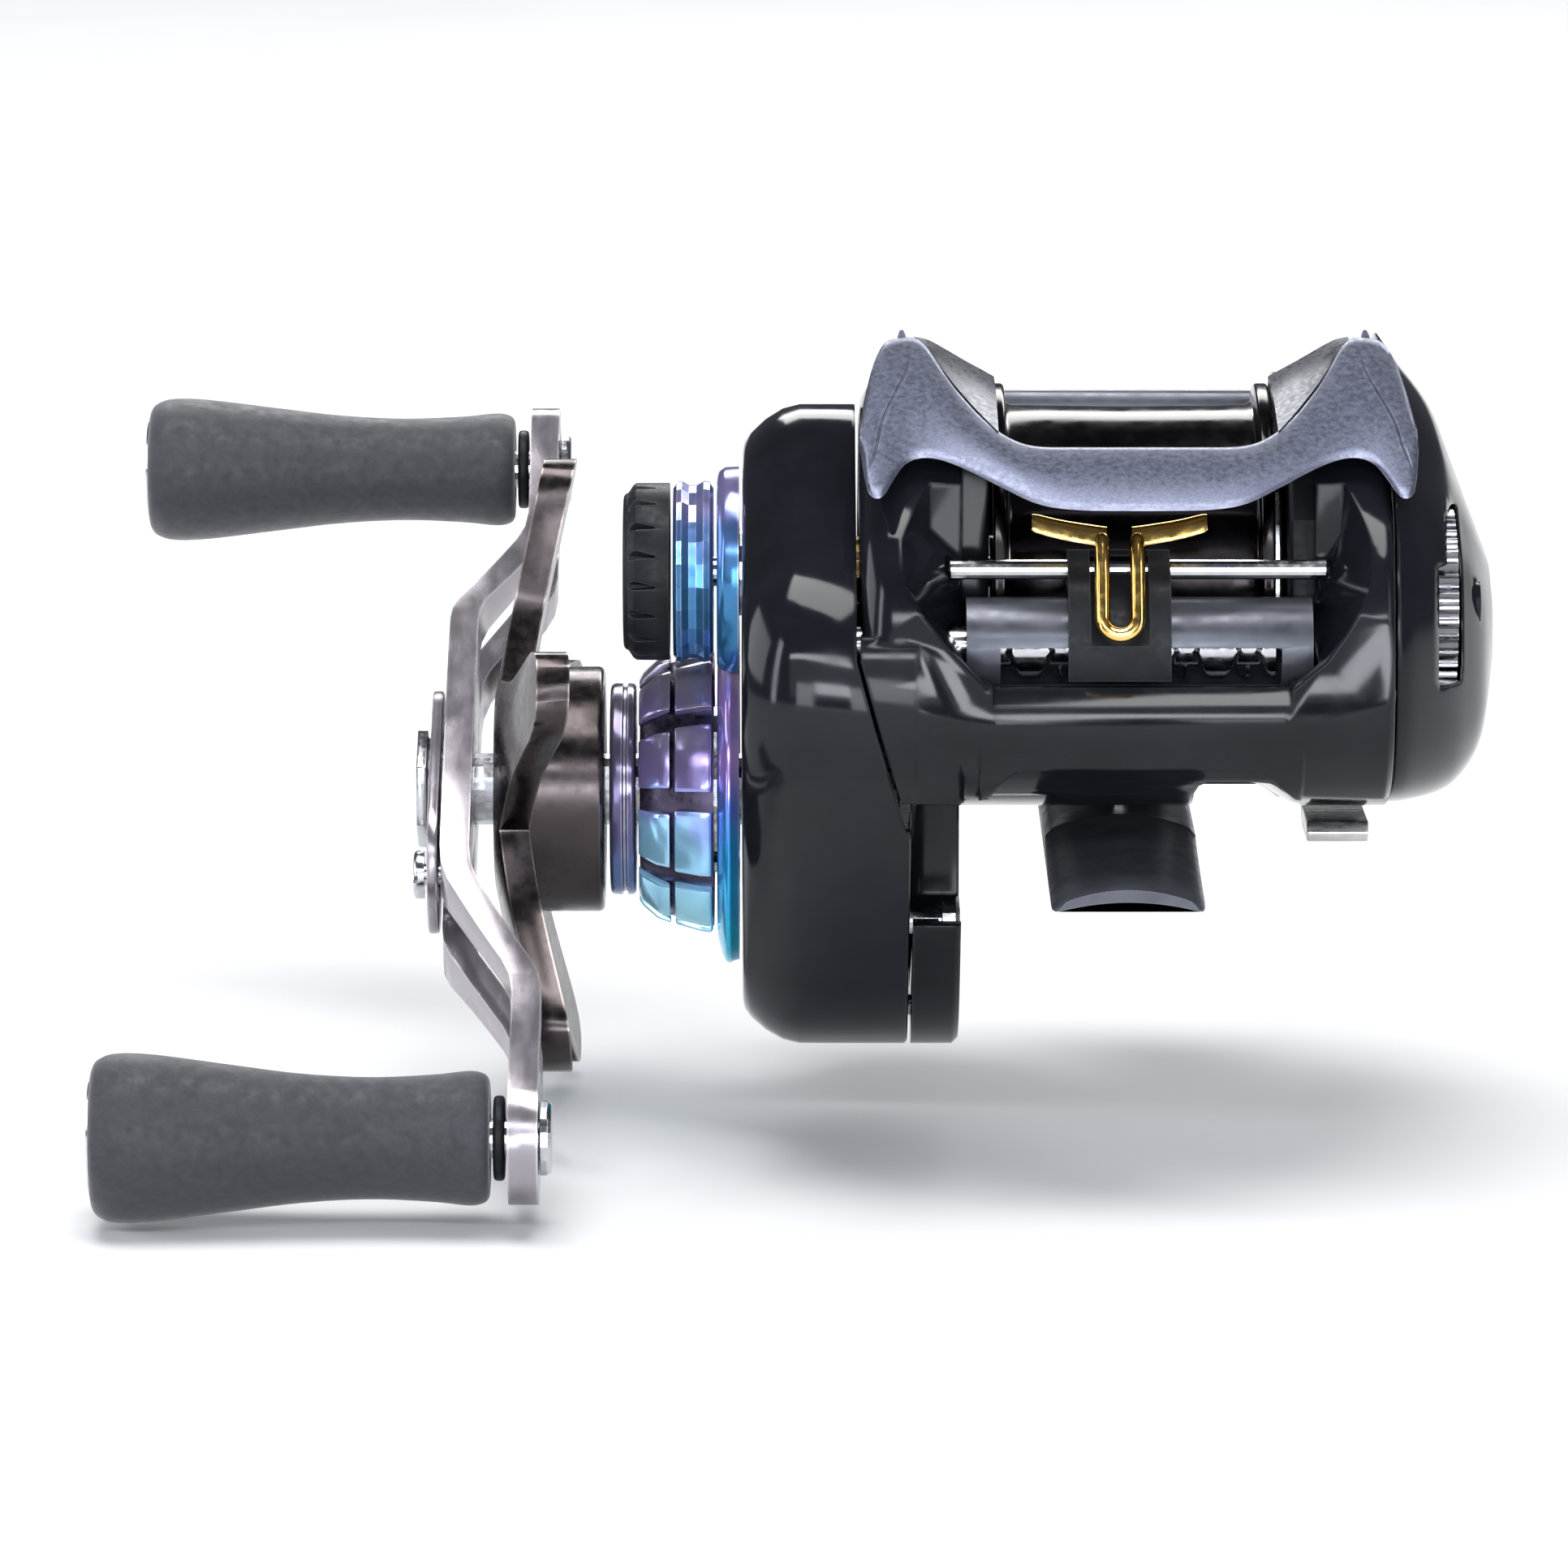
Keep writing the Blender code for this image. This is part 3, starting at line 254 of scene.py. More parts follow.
def gunmetal():
    look = Look("gunmetal", (0.31, 0.284, 0.308), 0.26, 0.8)
    # The arm's light edges are partly wear and partly painted highlight, the lamps caught along its rounded
    # front edges.
    look.blotches((0.35, 0.32, 0.348), 9).edges((0.7, 0.65, 0.7), 0.3, least=0.8)
    look.roughness(0.18, 0.29, 1.4, detail=6, stretch=(1, 0.25, 0.6))
    return look.grain(0.1, 0.001).grain(0.5, 0.0008, stretch=(1, 0.15, 0.4))


def dark_bronze():
    look = Look("dark_bronze", (0.052, 0.044, 0.045), 0.24, 1)
    look.blotches((0.064, 0.054, 0.054), 5).edges((0.3, 0.25, 0.23), 0.3, 0.006, 0.07, least=0.75)
    look.roughness(0.18, 0.28, 1, detail=5)
    return look.grain(0.12, 0.001)


def spool_metal():
    look = Look("spool_metal", (0.026, 0.023, 0.024), 0.14, 1)
    look.blotches((0.034, 0.03, 0.031), 4).edges((0.42, 0.4, 0.4), 0.2, least=0.8)
    look.roughness(0.1, 0.19, 2, detail=5)
    return look.rings(SPOOL, 0.22, 0.0008).grain(0.3, 0.0005)


RING_TINT = ((0, (0.03, 0.62, 0.92)), (0.4, (0.04, 0.4, 0.86)), (0.6, (0.14, 0.24, 0.8)),
             (0.8, (0.6, 0.38, 0.86)), (1, (0.95, 0.74, 0.98)))  # fmt: skip
# Heat colours of the pads from below to above the drive axis; the light blue at the bottom is partly painted
# highlight, the lamps reflected in the pads.
PAD_TINT_AND_HIGHLIGHT = ((0, (0.42, 0.84, 1)), (0.36, (0.38, 0.74, 1)), (0.5, (0.3, 0.38, 0.86)),
            (0.64, (0.28, 0.22, 0.48)), (1, (0.34, 0.31, 0.4)))  # fmt: skip
COLLAR_TINT = ((0, (0.1, 0.17, 0.36)), (0.5, (0.1, 0.085, 0.17)), (1, (0.14, 0.12, 0.18)))
CAST_TINT = ((0, (0.03, 0.22, 0.46)), (0.45, (0.05, 0.2, 0.42)), (0.75, (0.08, 0.16, 0.38)),
             (1, (0.24, 0.22, 0.44)))  # fmt: skip


def heat_tint(name, axis, reach, stops):
    """Metal tinted by heat: the tint climbs from below to above the axis, and drifts a little. In the pads'
    table the light stops below are partly painted highlight.
    """
    look = Look(name, stops[0][1], 0.2, 0.66)
    split = look.node("ShaderNodeSeparateXYZ", {"Vector": look.where})
    height = look.ranged(split.outputs["Z"], 0, 1, (axis[1] - reach) * MM, (axis[1] + reach) * MM)
    drift = look.ranged(look.noise(5, detail=2), -0.09, 0.09)
    drifted = look.node("ShaderNodeMath", {0: height, 1: drift}, operation="ADD")
    ramp = look.node("ShaderNodeValToRGB", {"Fac": drifted.outputs["Value"]})
    ramp.color_ramp.interpolation = "EASE"
    while len(ramp.color_ramp.elements) < len(stops):
        ramp.color_ramp.elements.new(0.5)
    for element, (place, colour) in zip(ramp.color_ramp.elements, stops):
        element.position = place
        element.color = (*colour, 1)
    look.tint = ramp.outputs["Color"]
    look.set("Base Color", look.tint).edges((0.6, 0.6, 0.72), 0.2, 0.01, 0.1, least=0.7)
    look.roughness(0.13, 0.24, 1.2, detail=5)
    return look.rings(axis, 0.16, 0.0007)


def groove_violet():
    look = Look("groove_violet", (0.06, 0.05, 0.08), 0.3, 1)
    look.blotches((0.09, 0.075, 0.12), 1.5)
    look.roughness(0.22, 0.4, 0.6, detail=4)
    return look.grain(0.15, 0.002)


def gold():
    look = Look("gold", (0.88, 0.52, 0.12), 0.15, 1)
    look.blotches((0.96, 0.66, 0.22), 1.6).edges((1, 0.8, 0.42), 0.12)
    look.roughness(0.09, 0.24, 0.7, detail=6)
    return look.grain(0.1, 0.0008)


def steel(name, colour, axis):
    look = Look(name, colour, 0.19, 1)
    look.blotches(tuple(0.85 * c for c in colour), 1.2)
    look.roughness(0.11, 0.28, 0.8, detail=6)
    if axis:
        look.rings(axis, 0.12, 0.0006)
    return look.grain(0.1, 0.0006)


def brass():
    look = Look("brass", (0.66, 0.47, 0.18), 0.28, 1)
    look.blotches((0.5, 0.33, 0.12), 1.6).edges((0.86, 0.68, 0.36), 0.15)
    look.roughness(0.2, 0.4, 0.7, detail=6)
    return look.rings(DRIVE, 0.18, 0.001)


def aluminium():
    look = Look("aluminium", (0.78, 0.77, 0.75), 0.34, 1)
    look.blotches((0.68, 0.67, 0.66), 0.9)
    look.roughness(0.22, 0.4, 0.5, detail=6, stretch=(0.2, 1, 1))
    return look.grain(0.3, 0.0015, stretch=(0.08, 1, 1))


def black_plastic():
    look = Look("black_plastic", (0.008, 0.0085, 0.0105), 0.45)
    look.set("Specular IOR Level", 0.16)
    look.blotches((0.012, 0.0125, 0.0155), 1.8).edges((0.05, 0.052, 0.06), 0.15, least=0.7)
    look.roughness(0.34, 0.52, 0.6, detail=6)
    return look.grain(0.14, 0.004)


def carbon():
    """A woven friction washer: two crossed waves make the weave."""
    look = Look("carbon", (0.016, 0.016, 0.018), 0.5)
    look.blotches((0.04, 0.04, 0.043), 0.5)
    for direction in ("Y", "Z"):
        look.wave(0.6, 0.02, look.where, bands_direction=direction)
    return look.roughness(0.4, 0.6, 0.5)


MAKERS = (
    gloss_black, satin_slate, slate_painted_shade, satin_black, grip_rubber, gunmetal, dark_bronze, spool_metal,
    groove_violet, gold, brass, aluminium, black_plastic, carbon,
)  # fmt: skip
LOOKS = {maker.__name__: maker().material for maker in MAKERS}
for name, axis, reach, stops in (
    ("heat_blue", DRIVE, 14, RING_TINT),
    ("heat_violet", DRIVE, 12, PAD_TINT_AND_HIGHLIGHT),
    ("collar_tint", DRIVE, 9, COLLAR_TINT),
    ("cast_tint", SPOOL, 8, CAST_TINT),
):
    LOOKS[name] = heat_tint(name, axis, reach, stops).material
for name, colour, axis in (
    ("steel", (0.6, 0.61, 0.63), WORM),
    ("chrome", (0.72, 0.73, 0.76), None),
    ("dial_steel", (0.2, 0.2, 0.21), DIAL),
):
    LOOKS[name] = steel(name, colour, axis).material


# --- shapes ---


def add(name, data):
    """An object with this mesh, lamp or camera, in the scene."""
    obj = bpy.data.objects.new(name, data)
    bpy.context.scene.collection.objects.link(obj)
    return obj


def mesh_from(name, bm):
    mesh = bpy.data.meshes.new(name)
    bm.to_mesh(mesh)
    bm.free()
    return add(name, mesh)


def build(name, bm):
    """An object from a bmesh in millimetres."""
    bmesh.ops.recalc_face_normals(bm, faces=bm.faces)
    bmesh.ops.scale(bm, vec=(MM, MM, MM), verts=bm.verts)
    return mesh_from(name, bm)


def circle(centre, radius, count):
    """Points round the centre, as pairs."""
    turns = [2 * pi * i / count for i in range(count)]
    return [(centre[0] + radius * cos(a), centre[1] + radius * sin(a)) for a in turns]


def loft(name, loops, ring=False):
    """A closed surface through loops of (x, y, z) points of one count. A ring of loops has no ends."""
    bm = bmesh.new()
    rows = [[bm.verts.new(point) for point in loop] for loop in loops]
    for row, following in zip(rows, rows[1:] + ([rows[0]] if ring else [])):
        for i in range(len(row)):
            j = (i + 1) % len(row)
            bm.faces.new((row[i], row[j], following[j], following[i]))
    if not ring:
        bm.faces.new(rows[0][::-1])
        bm.faces.new(rows[-1])
    return build(name, bm)


def plate_x(name, outline, x0, x1):
    return loft(name, [[(x, y, z) for y, z in outline] for x in (x0, x1)])


def plate_y(name, outline, y0, y1):
    return loft(name, [[(x, y, z) for x, z in outline] for y in (y0, y1)])


def block(name, low, high):
    (x0, y0, z0), (x1, y1, z1) = low, high
    return plate_x(name, [(y0, z0), (y1, z0), (y1, z1), (y0, z1)], x0, x1)


def turned(name, profile, axis, steps=72, start=0, sweep=2 * pi):
    """A loop of (x, radius) points turned about the line along X through axis (y, z)."""
    whole = sweep > 2 * pi - 1e-6
    angles = [start + sweep * i / steps for i in range(steps + (not whole))]
    loops = [[(x, axis[0] + r * cos(a), axis[1] + r * sin(a)) for x, r in profile] for a in angles]
    obj = loft(name, loops, ring=whole)
    weld(obj)
    return obj


def weld(obj):
    bm = bmesh.new()
    bm.from_mesh(obj.data)
    bmesh.ops.remove_doubles(bm, verts=bm.verts, dist=0.002 * MM)
    bmesh.ops.dissolve_degenerate(bm, edges=bm.edges, dist=0.001 * MM)
    bmesh.ops.recalc_face_normals(bm, faces=bm.faces)
    bm.to_mesh(obj.data)
    bm.free()


def arc(x, y, radius, first, last, steps):
    """Points from one angle to another, in degrees, round (x, y)."""
    angles = [radians(first + (last - first) * i / steps) for i in range(steps + 1)]
    return [(x + radius * cos(a), y + radius * sin(a)) for a in angles]


def curve_through(points, steps=6, ring=False):
    """A Catmull-Rom curve through points of any dimension."""
    count = len(points)
    found = []
    for i in range(count if ring else count - 1):
        near = [(i + k) % count if ring else min(max(i + k, 0), count - 1) for k in (-1, 0, 1, 2)]
        a, b, c, d = (Vector(points[k]) for k in near)
        for step in range(steps):
            t = step / steps
            point = 2 * b + (c - a) * t + (2 * a - 5 * b + 4 * c - d) * t * t + (3 * b - a - 3 * c + d) * t**3
            found.append(tuple(point / 2))
    return found if ring else found + [tuple(points[-1])]


def between(table, x):
    """The straight-line value of a table of (x, value) pairs at x."""
    for (x0, v0), (x1, v1) in zip(table, table[1:]):
        if x <= x1:
            return v0 + (v1 - v0) * max(0, x - x0) / (x1 - x0)
    return table[-1][1]


def belt(circles, steps=96):
    """The belt round some (y, z, radius) circles."""
    points = [point for y, z, radius in circles for point in circle((y, z), radius, steps)]
    return [points[i] for i in convex_hull_2d(points)]


def limits(outline):
    """The lowest and highest value of each coordinate."""
    return [(min(values), max(values)) for values in zip(*outline)]


def fitted(outline, x, *ranges):
    """The (y, z) outline stretched to these ranges, as a loop at x."""
    loop = []
    spans = list(zip(limits(outline), ranges))
    for point in outline:
        fit = [a + (v - low) * (b - a) / (high - low) for v, ((low, high), (a, b)) in zip(point, spans)]
        loop.append((x, *fit))
    return loop


def tube(name, route, radius, sides=12, closed=False):
    """A round wire along (x, y, z) points, with rounded tips unless it is closed."""
    points = [Vector(p) for p in route]
    count = len(points)
    loops = []
    normal = None
    for i, point in enumerate(points):
        ahead = points[(i + 1) % count] if closed or i < count - 1 else point
        behind = points[i - 1] if closed or i else point
        along = (ahead - behind).normalized()
        if normal is None:
            normal = along.orthogonal().normalized()
        normal = (normal - along * normal.dot(along)).normalized()
        side = along.cross(normal)
        turns = [2 * pi * k / sides for k in range(sides)]
        loops.append([point + radius * (cos(a) * normal + sin(a) * side) for a in turns])
        if not closed and i in (0, count - 1):
            out = -along if i == 0 else along
            tip = []
            for reach, narrow in ((0.7, 0.71), (0.98, 0.2)):
                tip.append([point + out * radius * reach + (q - point) * narrow for q in loops[-1]])
            loops = tip[::-1] + loops if i == 0 else loops + tip
    return loft(name, loops, ring=closed)


def settle(obj):
    """Applies the object's modifiers."""
    graph = bpy.context.evaluated_depsgraph_get()
    mesh = bpy.data.meshes.new_from_object(obj.evaluated_get(graph))
    old = obj.data
    obj.modifiers.clear()
    obj.data = mesh
    bpy.data.meshes.remove(old)
    return obj


def boolean(obj, operation, others):
    for other in others:
        modifier = obj.modifiers.new("shape", "BOOLEAN")
        modifier.operation = operation
        modifier.object = other
        settle(obj)
        bpy.data.objects.remove(other)
    return obj


def cut(obj, *others):
    return boolean(obj, "DIFFERENCE", others)


def join(obj, *others):
    return boolean(obj, "UNION", others)


def keep_inside(obj, *others):
    return boolean(obj, "INTERSECT", others)


def soften(obj, width, segments, angle):
    """A bevel modifier on the edges sharper than an angle."""
    modifier = obj.modifiers.new("edges", "BEVEL")
    modifier.width = width * MM
    modifier.segments = segments
    modifier.limit_method = "ANGLE"
    modifier.angle_limit = radians(angle)
    return modifier


def bevel(obj, width, segments=3, angle=30):
    """Rounds the sharp edges."""
    weld(obj)
    soften(obj, width, segments, angle).miter_outer = "MITER_ARC"
    return settle(obj)


def merge(name, pieces):
    """Several shapes that don't touch, as one object."""
    bm = bmesh.new()
    for one in pieces:
        bm.from_mesh(one.data)
        bpy.data.objects.remove(one)
    return mesh_from(name, bm)


def paint(obj, look):
    obj.data.materials.clear()
    obj.data.materials.append(LOOKS[look])


def finish(obj, body, slot, stands_for=(), look=None, sharp=35):
    """Shades, paints and hangs a piece on its body."""
    paint(obj, look or slot)
    obj.data.shade_smooth()
    obj.data.set_sharp_from_angle(angle=radians(sharp))
    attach(obj, body)
    if stands_for:
        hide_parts(*stands_for)
    return obj


# --- body ---

WALL_LEFT, WALL_RIGHT = -10.9, 12.9
PAN_OUT, PAN_IN = -17, -13.1
PALM_SEAM = 21.1
HOOD_MIDDLE, HOOD_RISE, HOOD_AT_ZERO, HOOD_THICK = 1, 0.514, 43.55, 2
FLANGE_R = 15.5
FACE_MIDDLE = 0.85  # x of the middle of the window and of the face below it
SCREW_BORE, SCREW_SINK, GUARD_BORE, ROD_BORE = 1.2, 2, 4.2, 1.1
FOOT_HOLES, FOOT_HALF = (-5, 5), 30
GUIDE_MIDDLE, GUIDE_FOOT = -0.7, (-25.9, 20.9)  # x, and (y, z) where the leaning wire starts
BODY = [(2, 37.1), (-8, 36.1), (-16, 32.6), (-23, 28.4), (-27, 22), (-28.2, 15.5), (-27.2, 10.5)]
BODY += [(-22.5, 6.6), (-13, 3.9), (0, 3.3), (10, 4), (18, 9), (22.5, 17), (22, 27), (13, 35)]
BODY = curve_through(BODY, 7, ring=True)
GEAR_SIDE = belt(((*DRIVE, 21.2), (*SPOOL, 13.8), (-16.2, 14.8, 12)))
SCREWS = [centre_of(f"cover_screw_{i}") for i in (1, 2, 3)]


def inset_section(outline, x, inset):
    return fitted(outline, x, *((low + inset, high - inset) for low, high in limits(outline)))


def stack(name, outline, steps):
    """A loft of one outline, given as (x, inset) pairs."""
    return loft(name, [inset_section(outline, *step) for step in steps])


def rod(x0, x1, radius, axis, steps=64):
    return turned("rod", [(x0, 0), (x0, radius), (x1, radius), (x1, 0)], axis, steps)


def bore(obj, *size):
    """Cuts a rod of this size out of the object."""
    return cut(obj, rod(*size))


def window_cutters():
    """The front window: a funnel that narrows from the body's face, and the opening behind it, open above."""
    wide = [(-11.2, 16.8), (-14.2, 19.8), (-16.6, 22.9), (-18.2, 25.6), (-19.1, 28), (-19.5, 31), (-19.5, 45)]
    wide += [(20.3, 45), (20.3, 31), (20, 27.4), (18.9, 24.2), (17.4, 21.4), (15.6, 19), (12.9, 16.8)]
    narrow = [(-11.4, 16.8), (-13.1, 19.1), (-13.1, 22.9), (-13.1, 25.4), (-15.8, 28), (-15.8, 31), (-15.8, 45)]
    narrow += [(17.4, 45), (17.4, 31), (17.2, 27.7), (15.1, 24.2), (15.1, 21.4), (15.1, 19.2), (13.2, 16.8)]
    loops = [[(x, y, z) for x, z in outline] for y, outline in ((-40, wide), (-25.5, wide), (-17.8, narrow))]
    opening = [(-13.2, 17), (-13.2, 46), (15.2, 46), (15.2, 17)]
    return loft("mouth", loops), plate_y("window", opening, -25.6, -11)


def nose_facet(side):
    """Slices the face of the body off aslant, outside one lower corner of the window."""
    loops = []
    for out, low in ((11.6, 14.3), (24, 17.5)):
        ends = [(low - 1, -28.1 - 0.2), (26, -28.1 + 0.2 * (26 - low))]
        x = FACE_MIDDLE + side * out
        loops.append([(x, y, z) for z, y in ends] + [(x, -40, z) for z, y in reversed(ends)])
    return loft("nose", loops)


def drain():
    """The hollow under the frame on the palm side of the foot."""
    outline = [(5.4, -9), (5.4, -0.9), (5.7, -0.3), (6.4, 0), (10.6, 0), (11.4, -0.1), (12, -0.4), (13.2, -1.3)]
    outline += [(13.8, -1.65), (14.4, -1.8), (14.4, -9)]
    return loft("drain", [[(x, y, 3.5 - 0.21 * y + z) for x, z in outline] for y in (-40, 0)])


def under_step():
    """A shallow step round the lower front: the face above it ends in an S at each side of the foot."""
    half = curve_through([(0, 10.2), (8.4, 10.2), (9.9, 9.9), (11, 9), (11.9, 7.6), (13.2, 7.1), (24, 7)], 5)
    edge = [(FACE_MIDDLE - x, z) for x, z in half[::-1]] + [(FACE_MIDDLE + x, z) for x, z in half[1:]]
    ledge = plate_y("ledge", edge + [(25.5, -5), (-24, -5)], -40, -5)
    keep = plate_x("keep", [(y + 0.55, z + 0.35) for y, z in BODY], -30, 30)
    return cut(ledge, keep)


def cheek_room(grow, front, back):
    """The slanted room, in front view, that the frame's cheek fills. grow widens it by a clearance."""
    out, low = -21.4 - grow, 4.6 - grow
    outline = [(out, 20.8), (out, 19), (-17.4 - grow, low), (5, low), (5, 20.8)]
    return plate_y("cheek_room", outline, front, back)


def cheek():
    """The front wall that the frame carries on below its shoulder, flush with the gear cover."""
    wall = stack("cheek", GEAR_SIDE, [(-23, 0.1), (PAN_OUT + 1, 0.1)])
    cut(wall, stack("inside", GEAR_SIDE, [(-28, 1.5), (-10, 1.5)]))
    return keep_inside(wall, cheek_room(0, -40, -20))


def fine_frame():
    left = [(-21.4, 3.4), (-21.25, 2.3), (-20.7, 1.3), (-19.6, 0.6), (-18.2, 0.15), (-17, 0), (WALL_LEFT, 0)]
    frame = stack("frame", BODY, left)
    cut(frame, block("gear_room", (-30, -40, -40), (PAN_OUT + 0.2, 40, 20.3)))
    pan = stack("pan", GEAR_SIDE, [(PAN_OUT, 0), (PAN_IN - 0.5, 0), (PAN_IN, 0.5)])
    palm = stack("palm_wall", BODY, [(WALL_RIGHT, 0), (20.6, 0), (PALM_SEAM, 0.5)])
    bar = [(-24.4, 16.5), (-26.1, 16.7), (-27.8, 15.5), (-28.2, 14.2), (-28, 12.1)]
    bar += curve_through([(-28, 12.1), (-26.6, 8.8), (-22.5, 6.3), (-13, 3.9)], 5)[1:]
    bar += [(-10, 3.6), (-4, 3.6), (-4, 4.8), (-7, 6), (-10, 7.4), (-15.8, 10.6), (-20.5, 12.9), (-23.2, 14.6)]
    rear = [(8, 3.6), (11, 4.3), (18, 9), (20.6, 13.5), (18.2, 14), (14.6, 9.6), (8, 5)]
    join(frame, pan, palm, cheek())
    for outline in (bar, [(-11, 3.3), (9, 3.3), (9, 5), (-11, 5)], rear):
        join(frame, plate_x("beam", outline, WALL_LEFT - 1, WALL_RIGHT + 1))
    mouth, window = window_cutters()
    cut(frame, window, mouth, nose_facet(-1), nose_facet(1), under_step(), drain())
    bore(frame, WALL_RIGHT - 2, PALM_SEAM + 2, FLANGE_R + 0.7, SPOOL, 96)
    bore(frame, -30, WALL_LEFT + 1, 5, SPOOL)
    bore(frame, -30, WALL_LEFT + 1, 2, WORM)
    bore(frame, -30, PAN_OUT + 0.1, 5.6, WORM)
    bore(frame, -14.6, 16.4, ROD_BORE, ROD)
    bore(frame, -13.15, 15.15, GUARD_BORE, WORM)
    bore(frame, PAN_OUT - 1, -12, 4, DRIVE)
    for spot in SCREWS:
        bore(frame, PAN_OUT - 1, -12, SCREW_BORE, spot)
        bore(frame, -14.9, -12, 2.1, spot)
    for y in FOOT_HOLES:
        cut(frame, upright("foot_hole", (0, y), 2, 6, SCREW_BORE))
    bevel(frame, 0.4, 3, 34)
    finish(frame, "reel_body", "gloss_black", ["main_frame"])


def upright(name, spot, z0, z1, radius, steps=32):
    return loft(name, [[(x, y, z) for x, y in circle(spot, radius, steps)] for z in (z0, z1)])


def hood_place(x, along, deep):
    """A point of the hood: along is its height z on the leaning face, and deep is how far behind the face."""
    lean = atan2(HOOD_RISE, 1)
    y = (along - HOOD_AT_ZERO) / HOOD_RISE
    return x, y + deep * sin(lean), along - deep * cos(lean)


def fine_hood():
    """Lofted along X from stations of (distance from its middle, lower edge, upper edge), as smooth curves."""
    upper = [(0, 35), (5, 35), (8.2, 35.05), (10.2, 35.5), (12.2, 36.55), (14.2, 38.2), (15.8, 39.9)]
    upper += [(16.9, 41.2), (17.8, 41.75), (19, 41.75), (20.2, 41.5), (21.1, 40.4), (21.8, 38.6), (22.4, 36.3)]
    lower = [(0, 31), (5, 31.05), (8.2, 31.4), (11.1, 32.4), (13.4, 33.3), (15.6, 34), (17.4, 34.2)]
    lower += [(18.8, 33.8), (19.8, 32.8), (20.5, 31.95), (21.2, 31.75), (21.9, 32.3), (22.4, 34.6)]
    upper, lower = (curve_through(points, 5) for points in (upper, lower))
    stations = [0, 2.5] + [4 + 0.5 * i for i in range(28)]
    stations += [18 + 0.4 * i for i in range(6)] + [20.3 + 0.3 * i for i in range(8)]
    loops = []
    for distance in [-d for d in stations[:0:-1]] + stations:
        low, high = between(lower, abs(distance)), between(upper, abs(distance))
        edge = 0.42
        thin = HOOD_THICK if abs(distance) < 21.9 else 1.2
        ring = []
        for share in (0, 0.06, 0.2, 0.35, 0.5, 0.65, 0.8, 0.94, 1):
            crown = 0.35 * (1 - (2 * share - 1) ** 2)
            ring.append((low + edge / 2 + (high - low - edge) * share, 0.35 - crown))
        ring += [(high - 0.06, 0.55), (high, 0.9), (high - 0.05, thin - 0.3), (high - 0.3, thin)]
        ring += [(low + 0.9 * thin, thin), (low + 0.9 * thin - 0.4, thin - 0.2)]
        ring += [(low + 0.3, 0.75), (low + 0.06, 0.5)]
        loops.append([hood_place(HOOD_MIDDLE + distance, along, deep) for along, deep in ring])
    hood = loft("hood", loops)
    for side in (-1, 1):
        cut(hood, corner_seam(side))
    finish(hood, "reel_body", "satin_slate", ["front_hood"], sharp=50)
    # The ear flanks are the hood's slate painted darker: painted shade.
    flanks = merge("hood_flanks", [ear_flank(side) for side in (-1, 1)])
    finish(flanks, "reel_body", "satin_slate", look="slate_painted_shade")
    finish(merge("hood_tips", [corner_tip(side) for side in (-1, 1)]), "reel_body", "satin_slate")


def ear_flank(side):
    """The curved wall inside an ear, back to the body. Each row: x, front y and z, back z."""
    rows = [(11.25, -15.2, 35.75, 37.2), (12.3, -13.4, 36.5, 37.8), (13.4, -11.6, 37.4, 38.4)]
    rows += [(14.6, -9.6, 38.5, 39.1), (15.8, -7.2, 39.7, 39.8), (16.8, -5, 40.7, 40.3), (17.8, -4, 41, 40.5)]
    loops = []
    for x, front, low, high in curve_through(rows, 4):
        top = [(front, low - 0.25), (0.65 * front, 0.45 * low + 0.55 * high), (0.3 * front, high), (1.6, high)]
        top = curve_through(top, 4)
        under = [(1.6, high - 3.4), (front + 0.8, low - 1.6)]
        loops.append([(HOOD_MIDDLE + side * x, y, z) for y, z in top + under])
    return loft("flank", loops)


def corner_seam(side):
    """A fine groove that sets off the corner of each ear."""
    route = [(18.7, 42.4), (18.3, 41), (18.6, 39.4), (19.6, 37.8), (20.6, 36.2), (21.2, 34.4), (21.9, 33.2)]
    points = [hood_place(HOOD_MIDDLE + side * x, along, 0.02) for x, along in curve_through(route, 5)]
    return tube("seam", points, 0.14, 6)


def corner_tip(side):
    """The small point that stands at the top of each ear's seam."""
    loops = []
    for along, half in ((41.2, 0.42), (41.75, 0.34), (42.1, 0.14)):
        spots = ((-half, 0.4), (half, 0.4), (half, 0.4 + 2 * half), (-half, 0.4 + 2 * half))
        loops.append([hood_place(HOOD_MIDDLE + side * (18.9 + x), along, deep) for x, deep in spots])
    return loft("tip", loops)


def fine_foot():
    """A tongue each way over an arched saddle, with soft edges and a raised middle."""
    half_width, drop = 6.15, 0.9
    radius = (half_width**2 + drop**2) / (2 * drop)
    crown = sqrt(radius**2 - (half_width / 9) ** 2)
    columns = 24
    rises = [(-FOOT_HALF, 0.8), (-29.6, 1.1), (-24, 1.4), (-17, 1.9), (-12, 2.45), (-9.5, 2.85), (-8.5, 2.9)]
    rises += [(-y, rise) for y, rise in rises[::-1]]
    loops = []
    for y, rise in curve_through(rises, 4):
        tip = min(1, (FOOT_HALF - min(abs(y), FOOT_HALF)) / 2.2)
        width = half_width * (0.9 + 0.1 * sqrt(max(0, 1 - (1 - tip) ** 2)))
        across = [-width + 2 * width * i / columns for i in range(columns + 1)]
        under = [(x, sqrt(radius**2 - x * x) - crown) for x in across]
        over = []
        for x, z in under[::-1]:
            edge = max(0, abs(x) / width - 0.86) / 0.14
            over.append((x, z + rise - 0.5 * (x / half_width) ** 2 - 0.42 * edge**2))
        y = max(-FOOT_HALF, min(FOOT_HALF, y))
        loops.append([(x, y, z) for x, z in under + over])
    foot = loft("foot", loops)
    for y in FOOT_HOLES:
        sink = upright("sink", (0, y), -2, 1.1, SCREW_SINK)
        cut(foot, upright("hole", (0, y), -2, 6, SCREW_BORE), sink)
    finish(foot, "reel_body", "satin_black", ["reel_foot"], sharp=50)


